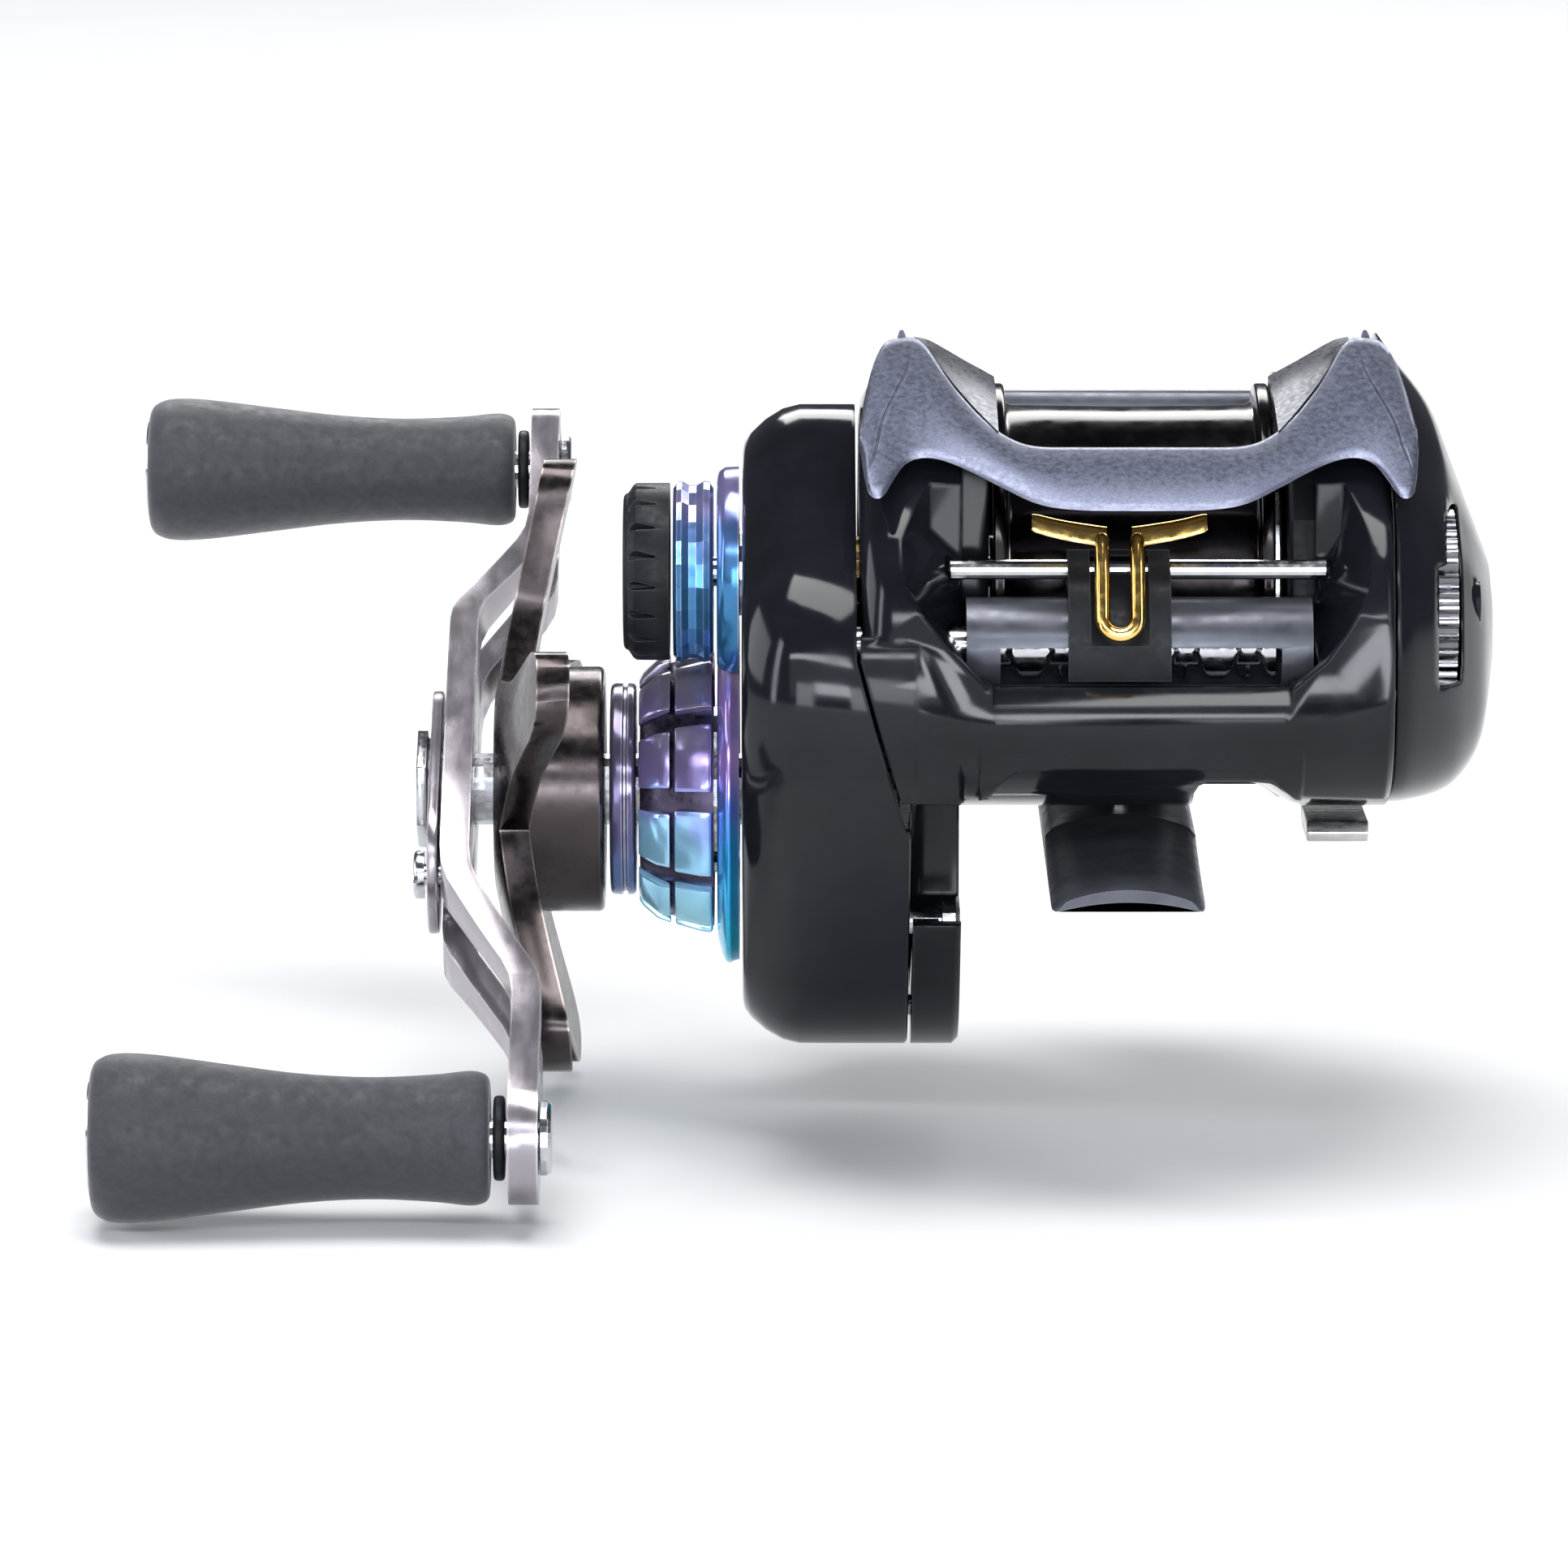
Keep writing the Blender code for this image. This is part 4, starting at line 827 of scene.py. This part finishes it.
def fine_gear_cover():
    outside = [(-17.3, 0.25), (-17.5, 0), (-26.2, 0), (-27.6, 0.35), (-29, 1.2), (-30.2, 2.3), (-30.75, 3.1)]
    cover = stack("gear_cover", GEAR_SIDE, outside + [(-30.9, 3.8)])
    cut(cover, stack("inside", GEAR_SIDE, [(-16, 1.5), (-26, 1.5), (-29.3, 3.8)]))
    cut(cover, block("shoulder", (-21.7, -40, 20), (0, 40, 50)), cheek_room(0.3, -41, -19.7))
    for spot in SCREWS:
        join(cover, rod(-17.5, -21, 2, spot, 32))
    for spot in SCREWS:
        bore(cover, -19.6, -16, SCREW_BORE, spot)
    bore(cover, -33, -28, 7.3, DRIVE)
    bore(cover, -33, -28, 4, SPOOL)
    bevel(cover, 0.3, 2, 40)
    finish(cover, "reel_body", "gloss_black", ["gear_side_cover"])


PALM_ROWS = (
    (21.4, -25.5, 22.6, 3.6, 40.4), (22.8, -24.4, 21.9, 3.6, 38.4), (25.6, -20.6, 19.6, 3.9, 34.6),
    (27.6, -17, 16.8, 5, 29.6), (29.4, -12.4, 13, 7.6, 25), (30.5, -6, 7.5, 13, 22),
)  # fmt: skip


def fine_palm_cover():
    rows = curve_through(PALM_ROWS, 5)
    cover = loft("palm_cover", [fitted(BODY, x, (y0, y1), (z0, z1)) for x, y0, y1, z0, z1 in rows])
    wall = 1.6
    inner = []
    for x, y0, y1, z0, z1 in rows[:-5]:
        inner.append(fitted(BODY, x - wall, (y0 + wall, y1 - wall), (z0 + wall, z1 - wall)))
    cut(cover, loft("inside", inner))
    bore(cover, 24.9, 27.1, 8.3, DIAL, 72)
    cut(cover, block("dial_slot", (25, -30, 15.6), (27, -14, 25)))
    under = [(-40, HOOD_AT_ZERO - 40 * HOOD_RISE - HOOD_THICK - 0.3), (-3.4, 39.5)]
    under += [(3.3, 39.1), (3.3, 60), (-40, 60)]
    cut(cover, plate_x("ear_clearance", under, 20, HOOD_MIDDLE + 22.7))
    join(cover, rod(24.4, 29, 2, DIAL, 32))
    bevel(cover, 0.3, 2, 40)
    finish(cover, "reel_body", "gloss_black", ["palm_side_cover"])


# --- handle, star and drive ---

ARM_TO_KNOB, ARM_END, ARM_THICK = 44, 49.3, 2.4
RETAINER_SCREW = -11.2  # along the arm
HANDLE_TURN = atan2(FAR[1] - NEAR[1], FAR[0] - NEAR[0])


def arm_point(along, across):
    """(y, z) of a point on the arm, along it from the drive axis towards the far knob."""
    c, s = cos(HANDLE_TURN), sin(HANDLE_TURN)
    return DRIVE[0] + along * c - across * s, DRIVE[1] + along * s + across * c


def arm_prism(name, outline, x0=-60, x1=-44):
    return plate_x(name, [arm_point(*point) for point in outline], x0, x1)


def long_hole(low, high, radius, steps=16):
    return arc(high, 0, radius, -90, 90, steps) + arc(low, 0, radius, 90, 270, steps)


def fine_arm():
    tip = ARM_END - ARM_TO_KNOB
    half = [(ARM_END, 0)] + arc(ARM_TO_KNOB, 0, tip, 0, 90, 12)[1:]
    half += curve_through([(40, 5.2), (33, 4.9), (24, 5.1), (16, 6.2), (8, 7.1), (0, 7.3)], 5)
    half += [(-x, y) for x, y in half[::-1][1:]]
    outline = half + [(x, -y) for x, y in half[-2:0:-1]]
    arm = arm_prism("arm", outline)
    hub_x, end_x = -55.6, -49.4
    bend = [(50.5, end_x), (31.5, end_x), (29.5, end_x - 0.25), (27.7, end_x - 0.9), (18.6, hub_x + 0.7)]
    bend += [(16.8, hub_x + 0.15), (15, hub_x)]
    bend += [(-along, x) for along, x in bend[::-1]]
    loops = []
    for across in (-10, 10):
        outer = [(x, *arm_point(along, across)) for along, x in bend]
        loops.append(outer + [(x + ARM_THICK, *arm_point(along, across)) for along, x in bend[::-1]])
    keep_inside(arm, loft("bend", loops))
    for side in (-1, 1):
        places = sorted((side * 14.5, side * 34))
        cut(arm, arm_prism("window", long_hole(*places, 2.3)))
        bore(arm, -60, -44, 1.9, arm_point(side * ARM_TO_KNOB, 0), 48)
    bore(arm, -60, -44, 3.3, DRIVE, 48)
    bore(arm, -60, -50, 1.2, arm_point(RETAINER_SCREW, 0), 32)
    bevel(arm, 0.38, 3, 30)
    finish(arm, "handle", "gunmetal", ["handle_arm"])


def fine_handle_nut():
    nut = arm_prism("nut", circle((0, 0), 5, 6), -58, -57.1)
    join(nut, rod(-57.3, -55.9, 4.2, DRIVE))
    bore(nut, -60, -50, 3.3, DRIVE)
    bevel(nut, 0.18, 2, 35)
    finish(nut, "handle", "gunmetal", ["handle_nut"], "steel")
    plate = arm_prism("retainer", long_hole(-9.6, 3.6, 5.9), -56.8, -55.9)
    bore(plate, -60, -50, 4.5, DRIVE)
    spot = arm_point(RETAINER_SCREW, 0)
    bore(plate, -60, -50, 1.2, spot, 32)
    bevel(plate, 0.2, 2, 35)
    finish(plate, "handle", "gunmetal", ["nut_retainer"])
    head = [(-58, 0), (-58, 1.5), *arc(-57.6, 1.6, 0.4, 180, 90, 4), (-57.1, 2), (-57.1, 0.9), (-53.4, 0.9)]
    screw = turned("retainer_screw_fine", head + [(-53.4, 0)], spot, 40)
    cut(screw, block("slot", (-59, spot[0] - 3, spot[1] - 0.3), (-57.6, spot[0] + 3, spot[1] + 0.3)))
    finish(screw, "handle", "steel", ["retainer_screw"])


def fine_star():
    """Five ribbed arms on a dished web, with a broad hub."""
    heading = atan2(0.978, 0.208)
    half = curve_through([(11, 36), (13.2, 24), (16, 15.5), (20, 11.2), (24.5, 8.6), (26.6, 6.2), (27.4, 3)], 4)
    lobe = [(r, -d) for r, d in half] + [(27.5, 0)] + [(r, d) for r, d in half[::-1][:-1]]
    outline = []
    for arm in range(5):
        for radius, turn in lobe:
            angle = heading + 2 * pi * arm / 5 + radians(turn)
            outline.append((DRIVE[0] + radius * cos(angle), DRIVE[1] + radius * sin(angle)))
    star = plate_x("star", outline, -55, -40)
    dish = [(-51.5, 0), (-51.5, 8), (-51.2, 9.6), (-46.9, 30), (-44.2, 30), (-48.6, 10.2), (-48.6, 0)]
    keep_inside(star, turned("dish", dish, DRIVE, 120))
    hub = [(-49.5, 0), (-49.5, 9.9), *arc(-49.1, 9.8, 0.4, 180, 90, 3)]
    hub += [*arc(-42.9, 9.7, 0.5, 90, 0, 3), (-42.3, 0)]
    join(star, turned("hub", hub, DRIVE, 120))
    bore(star, -53, -40, 3.3, DRIVE)
    bevel(star, 0.35, 3, 28)
    finish(star, "star", "dark_bronze", ["star_drag"])


def fine_cone():
    """A grooved cone round the bearing, and ten pads in two rows on it."""
    under = [(-39.4, 5.2), (-39.4, 8.9), (-38.6, 9.6), (-37.6, 10.3), (-34.6, 11.2), (-33.3, 11.4), (-33.3, 8.2)]
    cone = turned("cone", under + [(-38.8, 7.3), (-38.8, 5.2)], DRIVE, 120)
    finish(cone, "reel_body", "heat_violet", ["clutch_cone"], "groove_violet")
    pads = []
    count = 10
    rows = (
        ([(-39.5, 9.3), (-39.2, 9.75), (-38, 10.8), (-36.9, 11.2), (-36.9, 10.6), (-39.5, 8.6)], 25),
        ([(-36.5, 11.3), (-34.4, 11.9), (-33.6, 12), (-33.4, 11.8), (-33.4, 11), (-36.5, 10.6)], 28),
    )
    for profile, wide in rows:
        for i in range(count):
            start = 2 * pi * i / count - radians(wide / 2) + 0.2
            pads.append(bevel(turned("pad", profile, DRIVE, 10, start, radians(wide)), 0.16, 2, 40))
    finish(merge("cone_pads", pads), "reel_body", "heat_violet")


def fine_rings():
    ring = [(-33, 8.6), (-33, 12.2), (-32.85, 12.9), (-32.6, 13.7), *arc(-32, 14.1, 0.4, 150, 40, 4)]
    made = turned("ring", ring + [(-31.2, 14.2), (-31.2, 8.6)], DRIVE, 144)
    finish(made, "reel_body", "heat_blue", ["accent_ring"])
    collar = [(-41.9, 3.5), (-41.9, 8.3), *arc(-41.5, 8.4, 0.4, 180, 90, 3), (-40.9, 8.8), (-40.75, 8.5)]
    collar += [(-40.6, 8.5), (-40.45, 8.8), *arc(-40.1, 8.5, 0.3, 90, 0, 3), (-39.8, 3.5)]
    made = turned("collar", collar, DRIVE, 120)
    finish(made, "reel_body", "heat_violet", ["bearing_collar"], "collar_tint")


def squeezed(obj, axis, squeeze):
    """Flattens a round piece about its axis to an oval."""
    middle = Vector((0, axis[0], axis[1])) * MM
    for vertex in obj.data.vertices:
        off = vertex.co - middle
        vertex.co = Vector((vertex.co.x, middle.y + off.y * squeeze[0], middle.z + off.z * squeeze[1]))
    return obj


def fine_knob(name, body, axis, squeeze):
    side = [(-81.4, 4.6), (-82.2, 4.75), (-82.6, 5.1), (-82.5, 5.75), (-82, 6.35), (-80.6, 6.8)]
    side += [(-77.5, 6.7), (-71.5, 5.9), (-66, 5.2), (-60.5, 4.9), (-55.5, 5.1), (-52.6, 5.4)]
    side += [(-51.4, 5.2), (-50.95, 4.7), (-50.9, 4)]
    grip = turned("grip_soft_" + name, [(-81.4, 1.9), *curve_through(side, 5), (-50.9, 1.9)], axis)
    finish(squeezed(grip, axis, squeeze), body, "grip_rubber", ["grip_" + name])
    face = [(-83.08, 0), (-83.05, 1.4), (-82.95, 2.6), (-82.75, 3.6), (-82.45, 4.2), (-82.1, 4.3), (-82.1, 0)]
    cap = turned("cap_face_" + name, face, axis, 64)
    finish(squeezed(cap, axis, squeeze), body, "gloss_black", ["grip_cap_" + name])
    rim = [(-82.5, axis[0] + y * squeeze[0], axis[1] + z * squeeze[1]) for y, z in circle((0, 0), 4.45, 64)]
    finish(tube("cap_rim_" + name, rim, 0.34, 10, closed=True), body, "steel", look="chrome")
    collar = [(-50.6, 1.9), (-50.6, 3), *arc(-50.3, 3.1, 0.3, 180, 90, 3)]
    collar = turned("collar_ring_" + name, collar + [*arc(-50, 3.1, 0.3, 90, 0, 3), (-49.7, 1.9)], axis, 48)
    finish(collar, body, "black_plastic", ["grip_collar_" + name])


def fine_cast_control():
    cap = [(-40.7, 0), (-40.7, 5.9), *arc(-40.2, 6, 0.5, 180, 100, 4), (-39.9, 7.1), (-39.6, 7.3)]
    knob = turned("cast_knob", cap + [(-36.9, 7.3), (-36.9, 0)], SPOOL, 120)
    for i in range(18):
        angle = 2 * pi * i / 18
        notch = []
        for x, half in ((-41.2, 0.95), (-38, 0.15)):
            for r, wide in ((6.55, 0.3), (8, 1)):
                for side in (-1, 1):
                    turn = angle + side * half * wide / 7.3
                    notch.append((x, SPOOL[0] + r * cos(turn), SPOOL[1] + r * sin(turn)))
        order = (0, 1, 3, 2)
        cut(knob, loft("notch", [[notch[k] for k in order], [notch[4 + k] for k in order]]))
    bevel(knob, 0.12, 2, 35)
    finish(knob, "cast_control", "black_plastic", ["cast_cap"])
    ring = [(-36.6, 3), (-36.6, 6.9), (-36.3, 7.4), (-35.9, 7.5), (-35.3, 7.15), (-34.7, 7.15), (-34.1, 7.5)]
    made = turned("cast_blue", ring + [(-33.6, 7.4), (-33.3, 6.9), (-33.3, 3)], SPOOL, 24)
    finish(made, "cast_control", "heat_blue", ["cast_ring"], "cast_tint", sharp=12)
    seat = [(-33, 3.2), (-33, 7.9), (-32.8, 8.3), (-32.3, 8.6), (-31.2, 8.66), (-31.2, 4.4)]
    made = turned("cast_base", seat + [(-31.5, 4.4), (-31.5, 3.2)], SPOOL, 120)
    bore(made, -35, -29, 14.8, DRIVE, 120)
    finish(made, "reel_body", "heat_blue", ["cast_seat"], "cast_tint")


# --- spool, level wind and small pieces ---


def fine_spool():
    """A thin drum between two bright-edged flanges, open towards the brake."""
    left, right = span("spool", 0)
    rim = arc(left + 0.25, FLANGE_R - 0.25, 0.25, 180, 90, 3) + arc(left + 0.85, FLANGE_R - 0.3, 0.3, 90, 0, 3)
    rim += [(left + 1.2, 14.4), (left + 1.3, 14), (left + 1.7, 13.75), (-6, 13.7), (0, 13.62), (8, 13.7)]
    rim += [(10.4, 13.75), (10.85, 14), (10.95, 14.4), (11.05, FLANGE_R - 0.3)]
    rim += arc(11.35, FLANGE_R - 0.3, 0.3, 180, 90, 3) + arc(right - 0.25, FLANGE_R - 0.25, 0.25, 90, 0, 3)
    inner = [(right, 14.7), (11.5, 12.7), (-3.6, 12.5), (-4.4, 11.6), (-4.4, 3.4), (2, 3), (2, 1.55)]
    inner += [(-10.6, 1.55), (-10.6, 3), (-6.4, 3.6), (-6.4, 12.2), (left, 14.6)]
    spool = turned("spool_fine", rim + inner, SPOOL, 144)
    finish(spool, "spool_body", "dark_bronze", ["spool"], "spool_metal", sharp=40)


def fine_worm():
    """A shaft with a right-hand and a left-hand groove that cross."""
    low, high = -10.3, 12
    pitch, radius, deep, half = 5, 2.7, 0.8, 0.62
    turns, columns = 64, 150
    loops = [[(x, y, z) for y, z in circle(WORM, 1.5, turns)] for x in (-22, low - 0.3)]
    for i in range(columns + 1):
        x = low + (high - low) * i / columns
        loop = []
        for k in range(turns):
            angle = 2 * pi * k / turns
            r = radius
            for hand in (-1, 1):
                off = (x - low + hand * pitch * angle / (2 * pi)) % pitch - pitch / 2
                side = min(1, max(0, (abs(off) - half) / 0.28))
                r = min(r, radius - deep * (1 - side))
            if i in (0, columns):
                r = min(r, radius - 0.3)
            loop.append((x, WORM[0] + r * cos(angle), WORM[1] + r * sin(angle)))
        loops.append(loop)
    loops += [[(x, y, z) for y, z in circle(WORM, 1.3, turns)] for x in (high + 0.3, 14.2)]
    finish(loft("worm_fine", loops), "worm", "steel", ["worm_shaft"], sharp=50)


def fine_worm_guard():
    guard = turned("guard", [(-12.9, 3.2), (-12.9, 3.9), (14.8, 3.9), (14.8, 3.2)], WORM, 96)
    below, half = radians(25), 2.1
    towards = (-cos(below), -sin(below))
    side = (-towards[1], towards[0])
    slot = []
    for along, across in ((0, -half), (6, -half), (6, half), (0, half)):
        slot.append(tuple(WORM[k] + along * towards[k] + across * side[k] for k in (0, 1)))
    cut(guard, plate_x("slot", slot, -10.2, 12.3))
    bevel(guard, 0.12, 2, 40)
    finish(guard, "reel_body", "satin_black", ["worm_guard"])


def fine_carriage():
    """A block on the rod and round the guard, with the groove that the guide's wire leans back into."""
    outline = [(-25.2, 17), *curve_through([(-25.2, 20.4), (-23.9, 23.2), (-22.4, 24.9), (-20.3, 26.05)], 3)]
    outline += [(-19.4, 26.6), (-18.2, 26.4), (-17.2, 25.2), (-17.6, 21.8), (-22, 18)]
    low, high = span("levelwind_carriage", 0)
    carriage = plate_x("carriage_block", outline, low, high)
    bore(carriage, -10, 10, GUARD_BORE, WORM, 96)
    bore(carriage, -10, 10, ROD_BORE, ROD, 48)
    lean, depth, half = radians(43), 1.22, 2.34
    groove = []
    for up, behind in ((-1, depth), (12, depth), (12, -6), (-1, -6)):
        y = GUIDE_FOOT[0] + up * sin(lean) + behind * cos(lean)
        groove.append((y, GUIDE_FOOT[1] + up * cos(lean) - behind * sin(lean)))
    cut(carriage, plate_x("groove", groove, GUIDE_MIDDLE - half, GUIDE_MIDDLE + half))
    bevel(carriage, 0.25, 3, 30)
    finish(carriage, "carriage", "black_plastic", ["levelwind_carriage"])


def guide_plane(x, up, ahead=0):
    """A point on the line guide's leaning plane, x from its middle and up it from its foot."""
    lean = radians(29)
    y = GUIDE_FOOT[0] + up * sin(lean) - ahead * cos(lean)
    return GUIDE_MIDDLE + x, y, GUIDE_FOOT[1] + up * cos(lean) - ahead * sin(lean)


def fine_line_guide():
    """A wire bent to a U, whose ends run on into two bent wings."""
    half, top = 1.42, 8
    route = [(-half, top), (-half, 5.5), (-half, 3.5)]
    route += arc(0, half, half, 180, 360, 20)
    route += [(half, 3.5), (half, 5.5), (half, top)]
    wire = tube("guide_wire", [guide_plane(x, up) for x, up in route], 0.62, 20)
    finish(wire, "guide", "gold", ["line_guide"], sharp=60)
    wings = []
    for side in (-1, 1):
        lines = [(1, 7.7, 8.85, 0.4), (2.2, 7.85, 9, 0.42), (4.6, 8.3, 9.4, 0.42), (6.6, 8.85, 9.9, 0.4)]
        lines += [(7, 9.05, 9.95, 0.3)]
        loops = []
        for x, low, high, thick in curve_through(lines, 4):
            ring = arc(0, high - thick / 2, thick, 0, 180, 5) + arc(0, low + thick / 2, thick, 180, 360, 5)
            loops.append([guide_plane(side * x, up, ahead) for ahead, up in ring])
        wings.append(loft("wing", loops))
    finish(merge("guide_wings", wings), "guide", "gold", sharp=50)


def fine_brake_dial():
    low, high = span("brake_dial", 0)
    bumps, steps = 40, 6
    outline = []
    for i in range(bumps * steps):
        angle = 2 * pi * i / (bumps * steps)
        radius = 7.72 + 0.26 * max(-0.6, cos(bumps * angle))
        outline.append((DIAL[0] + radius * cos(angle), DIAL[1] + radius * sin(angle)))
    dial = plate_x("dial", outline, low, high)
    bore(dial, 20, 30, 2.3, DIAL, 48)
    finish(dial, "brake_dial_body", "steel", ["brake_dial"], "dial_steel")


def fine_thumb_bar():
    low, high = span("thumb_bar", 0)
    top = [(16.2, 31.4), (16.7, 32.7), (17.6, 33.4), (19.4, 32.6), (21.6, 30.2), (23.2, 27.4), (24, 24.6)]
    bar = plate_x("thumb_rest", curve_through(top, 4) + [(23.4, 23.8), (22.4, 23.6), (20.2, 26.8)], low, high)
    ribs = []
    for i in range(4):
        y = 18.6 + 1.05 * i
        z = 33.05 - 1.25 * i
        ribs.append(block("rib", (low + 3, y - 0.14, z - 0.35), (high - 3, y + 0.14, z + 1.4)))
    cut(bar, *ribs)
    bevel(bar, 0.4, 3, 35)
    finish(bar, "thumb_bar_body", "satin_black", ["thumb_bar"])


def fine_release_tab():
    low, high = span("release_tab", 0)
    outline = [(-14, 1.5), (-6, 1.2), (-5, 1.9), (-5, 2.8), (-14, 3.2), (-14.6, 2.3)]
    tab = plate_x("tab", outline, low, high)
    for i in range(5):
        y = -13.2 + 1.1 * i
        cut(tab, block("rib", (low - 1, y, 0.5), (high + 1, y + 0.3, 1.75)))
    bevel(tab, 0.25, 3, 35)
    finish(tab, "release_tab_body", "aluminium", ["release_tab"])


def paint_frame_nodes():
    """Every CAD node that still shows gets its slot's look and slightly softened edges."""
    for entry in frame["record"]["subparts"]:
        node = frame["nodes"][entry["node"]]
        if node.hide_render:
            continue
        paint(node, entry["material_slot"])
        welded = node.modifiers.new("weld", "WELD")
        welded.merge_threshold = 0.001 * MM
        soften(node, 0.08, 2, 38)


# --- floor, light and camera ---

CAMERA_AIM = Vector((-27.5, 0, 3.3)) * MM
CAMERA_DISTANCE, CAMERA_RISE, CAMERA_LENS = 0.75, radians(12), 208
LAMP_AIM = Vector((-0.02, 0, 0.01))


def make_floor():
    low = CAD_BOX[0].z - 0.0006
    mesh = bpy.data.meshes.new("floor")
    size = 4
    corners = [(x * size, y * size, low) for x, y in ((-1, -1), (1, -1), (1, 1), (-1, 1))]
    mesh.from_pydata(corners, [], [(0, 1, 2, 3)])
    floor = add("floor", mesh)
    look = Look("floor_paper", (0.74, 0.74, 0.74), 0.85)
    look.blotches((0.71, 0.71, 0.71), 60).set("Specular IOR Level", 0.1)
    mesh.materials.append(look.material)


def soft_box(name, place, width, height, power, colour=(0.9, 0.94, 1)):
    lamp = bpy.data.lights.new(name, "AREA")
    lamp.shape = "RECTANGLE"
    lamp.size, lamp.size_y = width, height
    lamp.energy = power
    lamp.color = colour
    obj = add(name, lamp)
    obj.location = place
    obj.rotation_euler = (LAMP_AIM - Vector(place)).to_track_quat("-Z", "Y").to_euler()


def make_light():
    """A dim studio with a few narrow soft boxes, so that black gloss shows crisp strips and stays dark."""
    world = bpy.data.worlds.new("studio")
    world.use_nodes = True
    sky = world.node_tree.nodes["Background"].inputs
    sky["Color"].default_value = (0.82, 0.88, 1, 1)
    sky["Strength"].default_value = 0.1
    bpy.context.scene.world = world
    soft_box("top_light", (-0.06, -0.06, 0.85), 0.75, 0.38, 8, (1, 1, 1))
    soft_box("front_panel", (-0.05, -1.2, 0.42), 1.6, 0.7, 3.2)
    soft_box("left_light", (-0.8, -0.45, 0.25), 0.12, 0.7, 2.2)
    soft_box("right_light", (0.8, -0.4, 0.3), 0.12, 0.7, 2.2)
    soft_box("left_wall", (-0.9, 0.1, 0.28), 0.55, 0.4, 2.4)
    soft_box("nose_light", (0.03, -0.88, 0.19), 0.3, 0.13, 1.8)
    soft_box("near_left", (-0.24, -0.88, 0.1), 0.22, 0.26, 1.1)
    soft_box("near_right", (0.28, -0.86, 0.11), 0.22, 0.26, 1.1)
    soft_box("back_light", (0.1, 0.8, 0.5), 0.8, 0.3, 5, (1, 1, 1))
    soft_box("front_strip", (-0.15, -0.8, 0.55), 0.9, 0.06, 2.5)


def make_camera():
    data = bpy.data.cameras.new("camera")
    data.lens = CAMERA_LENS
    data.clip_start, data.clip_end = 0.01, 20
    camera = add("camera", data)
    back = Vector((0, -cos(CAMERA_RISE), sin(CAMERA_RISE)))
    camera.location = CAMERA_AIM + back * CAMERA_DISTANCE
    camera.rotation_mode = "QUATERNION"
    camera.rotation_quaternion = (-back).to_track_quat("-Z", "Y")
    bpy.context.scene.camera = camera


def clear_scene():
    """Removes the startup scene's cube, lamp and camera, and keeps the frame."""
    for obj in list(bpy.data.objects):
        if obj.name in ("Cube", "Light", "Camera"):
            bpy.data.objects.remove(obj)


clear_scene()
for make in (
    fine_frame, fine_hood, fine_foot, fine_gear_cover, fine_palm_cover, fine_arm, fine_handle_nut, fine_star,
    fine_cone, fine_rings,
):  # fmt: skip
    make()
fine_knob("near", "knob_near", NEAR, (0.88, 1))
fine_knob("far", "knob_far", FAR, (1, 0.9))
for make in (
    fine_cast_control, fine_spool, fine_worm, fine_worm_guard, fine_carriage, fine_line_guide, fine_brake_dial,
    fine_thumb_bar, fine_release_tab, paint_frame_nodes, make_floor, make_light, make_camera,
):  # fmt: skip
    make()
bpy.context.scene.view_settings.view_transform = "Standard"
